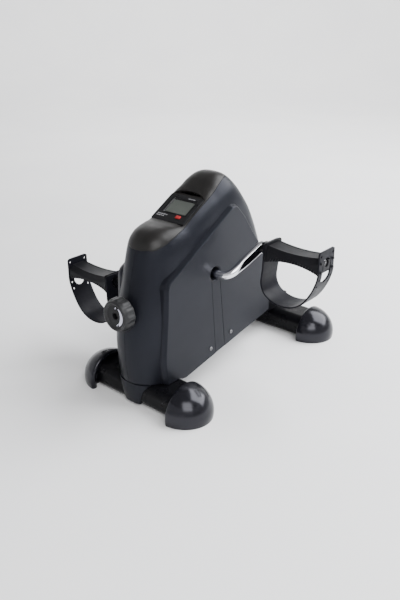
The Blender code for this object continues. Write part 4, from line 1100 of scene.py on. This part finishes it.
def knob_marks():
    """Crescent that thickens with the tension, and a short bar beyond each end of it."""
    front, back = DISC_Y - 0.0005, DISC_Y - 0.0002
    edge = 0.0140
    inner = []
    outer = []
    for i in range(29):
        t = i / 28
        angle = math.radians(62.0 - 122.0 * t)
        near = 0.0136 - 0.0044 * math.sin(math.pi * min(1.0, 0.12 + 0.62 * t)) ** 1.5
        inner.append((near * math.cos(angle), KNOB.z + near * math.sin(angle)))
        outer.append((edge * math.cos(angle), KNOB.z + edge * math.sin(angle)))
    marks = [prism(outer + inner[::-1], "Y", front, back)]
    for turn in (84.0, -74.0):
        angle = math.radians(turn)
        bar = block((-0.0005, front, -0.0015), (0.0005, back, 0.0015))
        place = (0.0120 * math.cos(angle), 0.0, KNOB.z + 0.0120 * math.sin(angle))
        bar.transform(Matrix.Translation(place) @ Matrix.Rotation(0.5, 4, "Y"))
        marks.append(bar)
    piece("knob_mark", merged(marks), "knob", "knob_grey", look="mark", weighted=False)


# ---------------- CAD nodes that stay
def dress_cad_nodes():
    """Give every CAD node its slot's node material."""
    slots = {entry["node"]: entry["material_slot"] for entry in frame["record"]["subparts"]}
    for name, obj in frame["nodes"].items():
        obj.data.materials.clear()
        obj.data.materials.append(LOOKS[slots[name]])


# ---------------- stage, light and camera
def stage():
    """Pale floor that sweeps up into a round backdrop."""
    look = Nodes("pale_floor")
    look.colour((0.86, 0.86, 0.87), (0.90, 0.90, 0.90), look.noise(3.0, 4.0))
    look.set(Roughness=0.9, Specular_IOR_Level=0.2)
    flat, bend, high = 2.6, 1.2, 2.6
    profile = [(flat * k / 8, 0.0) for k in range(9)]
    profile += [(flat + x, bend + z) for x, z in arc((0.0, 0.0), bend, -84, 0, 14)]
    profile.append((flat + bend, high))
    steps = 96
    rows = [ring(radius, z, steps) for radius, z in profile[1:]]
    faces = [tuple(range(steps))] + [face[::-1] for face in quads(rows, True)]
    floor = mesh_of([point for row in rows for point in row], faces)
    floor.materials.append(look.material)
    floor.shade_smooth()
    link(bpy.data.objects.new("floor", floor))


def softbox(name, place, target, size, power, colour=(1.0, 1.0, 1.0)):
    lamp = bpy.data.lights.new(name, "AREA")
    lamp.shape = "RECTANGLE"
    lamp.size = size[0]
    lamp.size_y = size[1]
    lamp.energy = power
    lamp.color = colour
    obj = link(bpy.data.objects.new(name, lamp))
    obj.location = place
    away = Vector(place) - Vector(target)
    obj.rotation_euler = away.to_track_quat("Z", "Y").to_euler()


def lights():
    """Soft key from the front right, a wide light behind, one on the backdrop, and a dim sky."""
    world = bpy.data.worlds.new("studio")
    bpy.context.scene.world = world
    world.use_nodes = True
    sky = world.node_tree.nodes["Background"]
    sky.inputs["Color"].default_value = (1.0, 1.0, 1.0, 1.0)
    sky.inputs["Strength"].default_value = 0.36
    softbox("key", (1.00, -0.90, 1.08), (0.0, 0.0, 0.12), (0.95, 0.95), 19.0)
    softbox("back", (0.80, 1.00, 1.30), (0.30, 0.40, 0.0), (1.7, 1.7), 88.0, (0.97, 0.98, 1.0))
    softbox("wall", (-0.80, 1.30, 2.10), (-2.30, 2.90, 0.70), (1.6, 1.0), 90.0)


def camera():
    """Camera at the product shot's angle: three quarters from the right front, looking down."""
    across = Vector((0.7637, 0.6455, -0.0031)).normalized()
    forward = Vector((-0.5893, 0.6953, -0.4115)).normalized()
    up = across.cross(forward)
    lens = bpy.data.cameras.new("camera")
    lens.sensor_fit = "VERTICAL"
    lens.sensor_height = 36.0
    lens.lens = 40.47
    lens.clip_start = 0.01
    obj = link(bpy.data.objects.new("camera", lens))
    turn = Matrix((across, up, -forward)).transposed().to_4x4()
    place = Vector((0.58755, -0.73268, 0.51799)) + SHIFT
    obj.matrix_world = Matrix.Translation(place) @ turn
    bpy.context.scene.camera = obj


def main():
    camera()
    lights()
    stage()
    dress_cad_nodes()
    for name, side in SIDES:
        shell(name, side)
        slot_strip(name, side)
        for number, spot in enumerate(screw_spots()):
            shell_screw(name, side, number + 1, spot)
        spindle_parts(name, side)
        pedal_block(name, side)
        pedal_flange(name, side)
        strap(name, side)
        strap_pegs(name, side)
    console_cover()
    foot_tongue()
    for name, side_y in (("front", -1), ("rear", 1)):
        tube(name, side_y)
        for side_x in (RIGHT, LEFT):
            end_cap(name, side_x, side_y)
    monitor()
    crank_rod()
    knob_grip()
    knob_disc()
    knob_marks()


main()
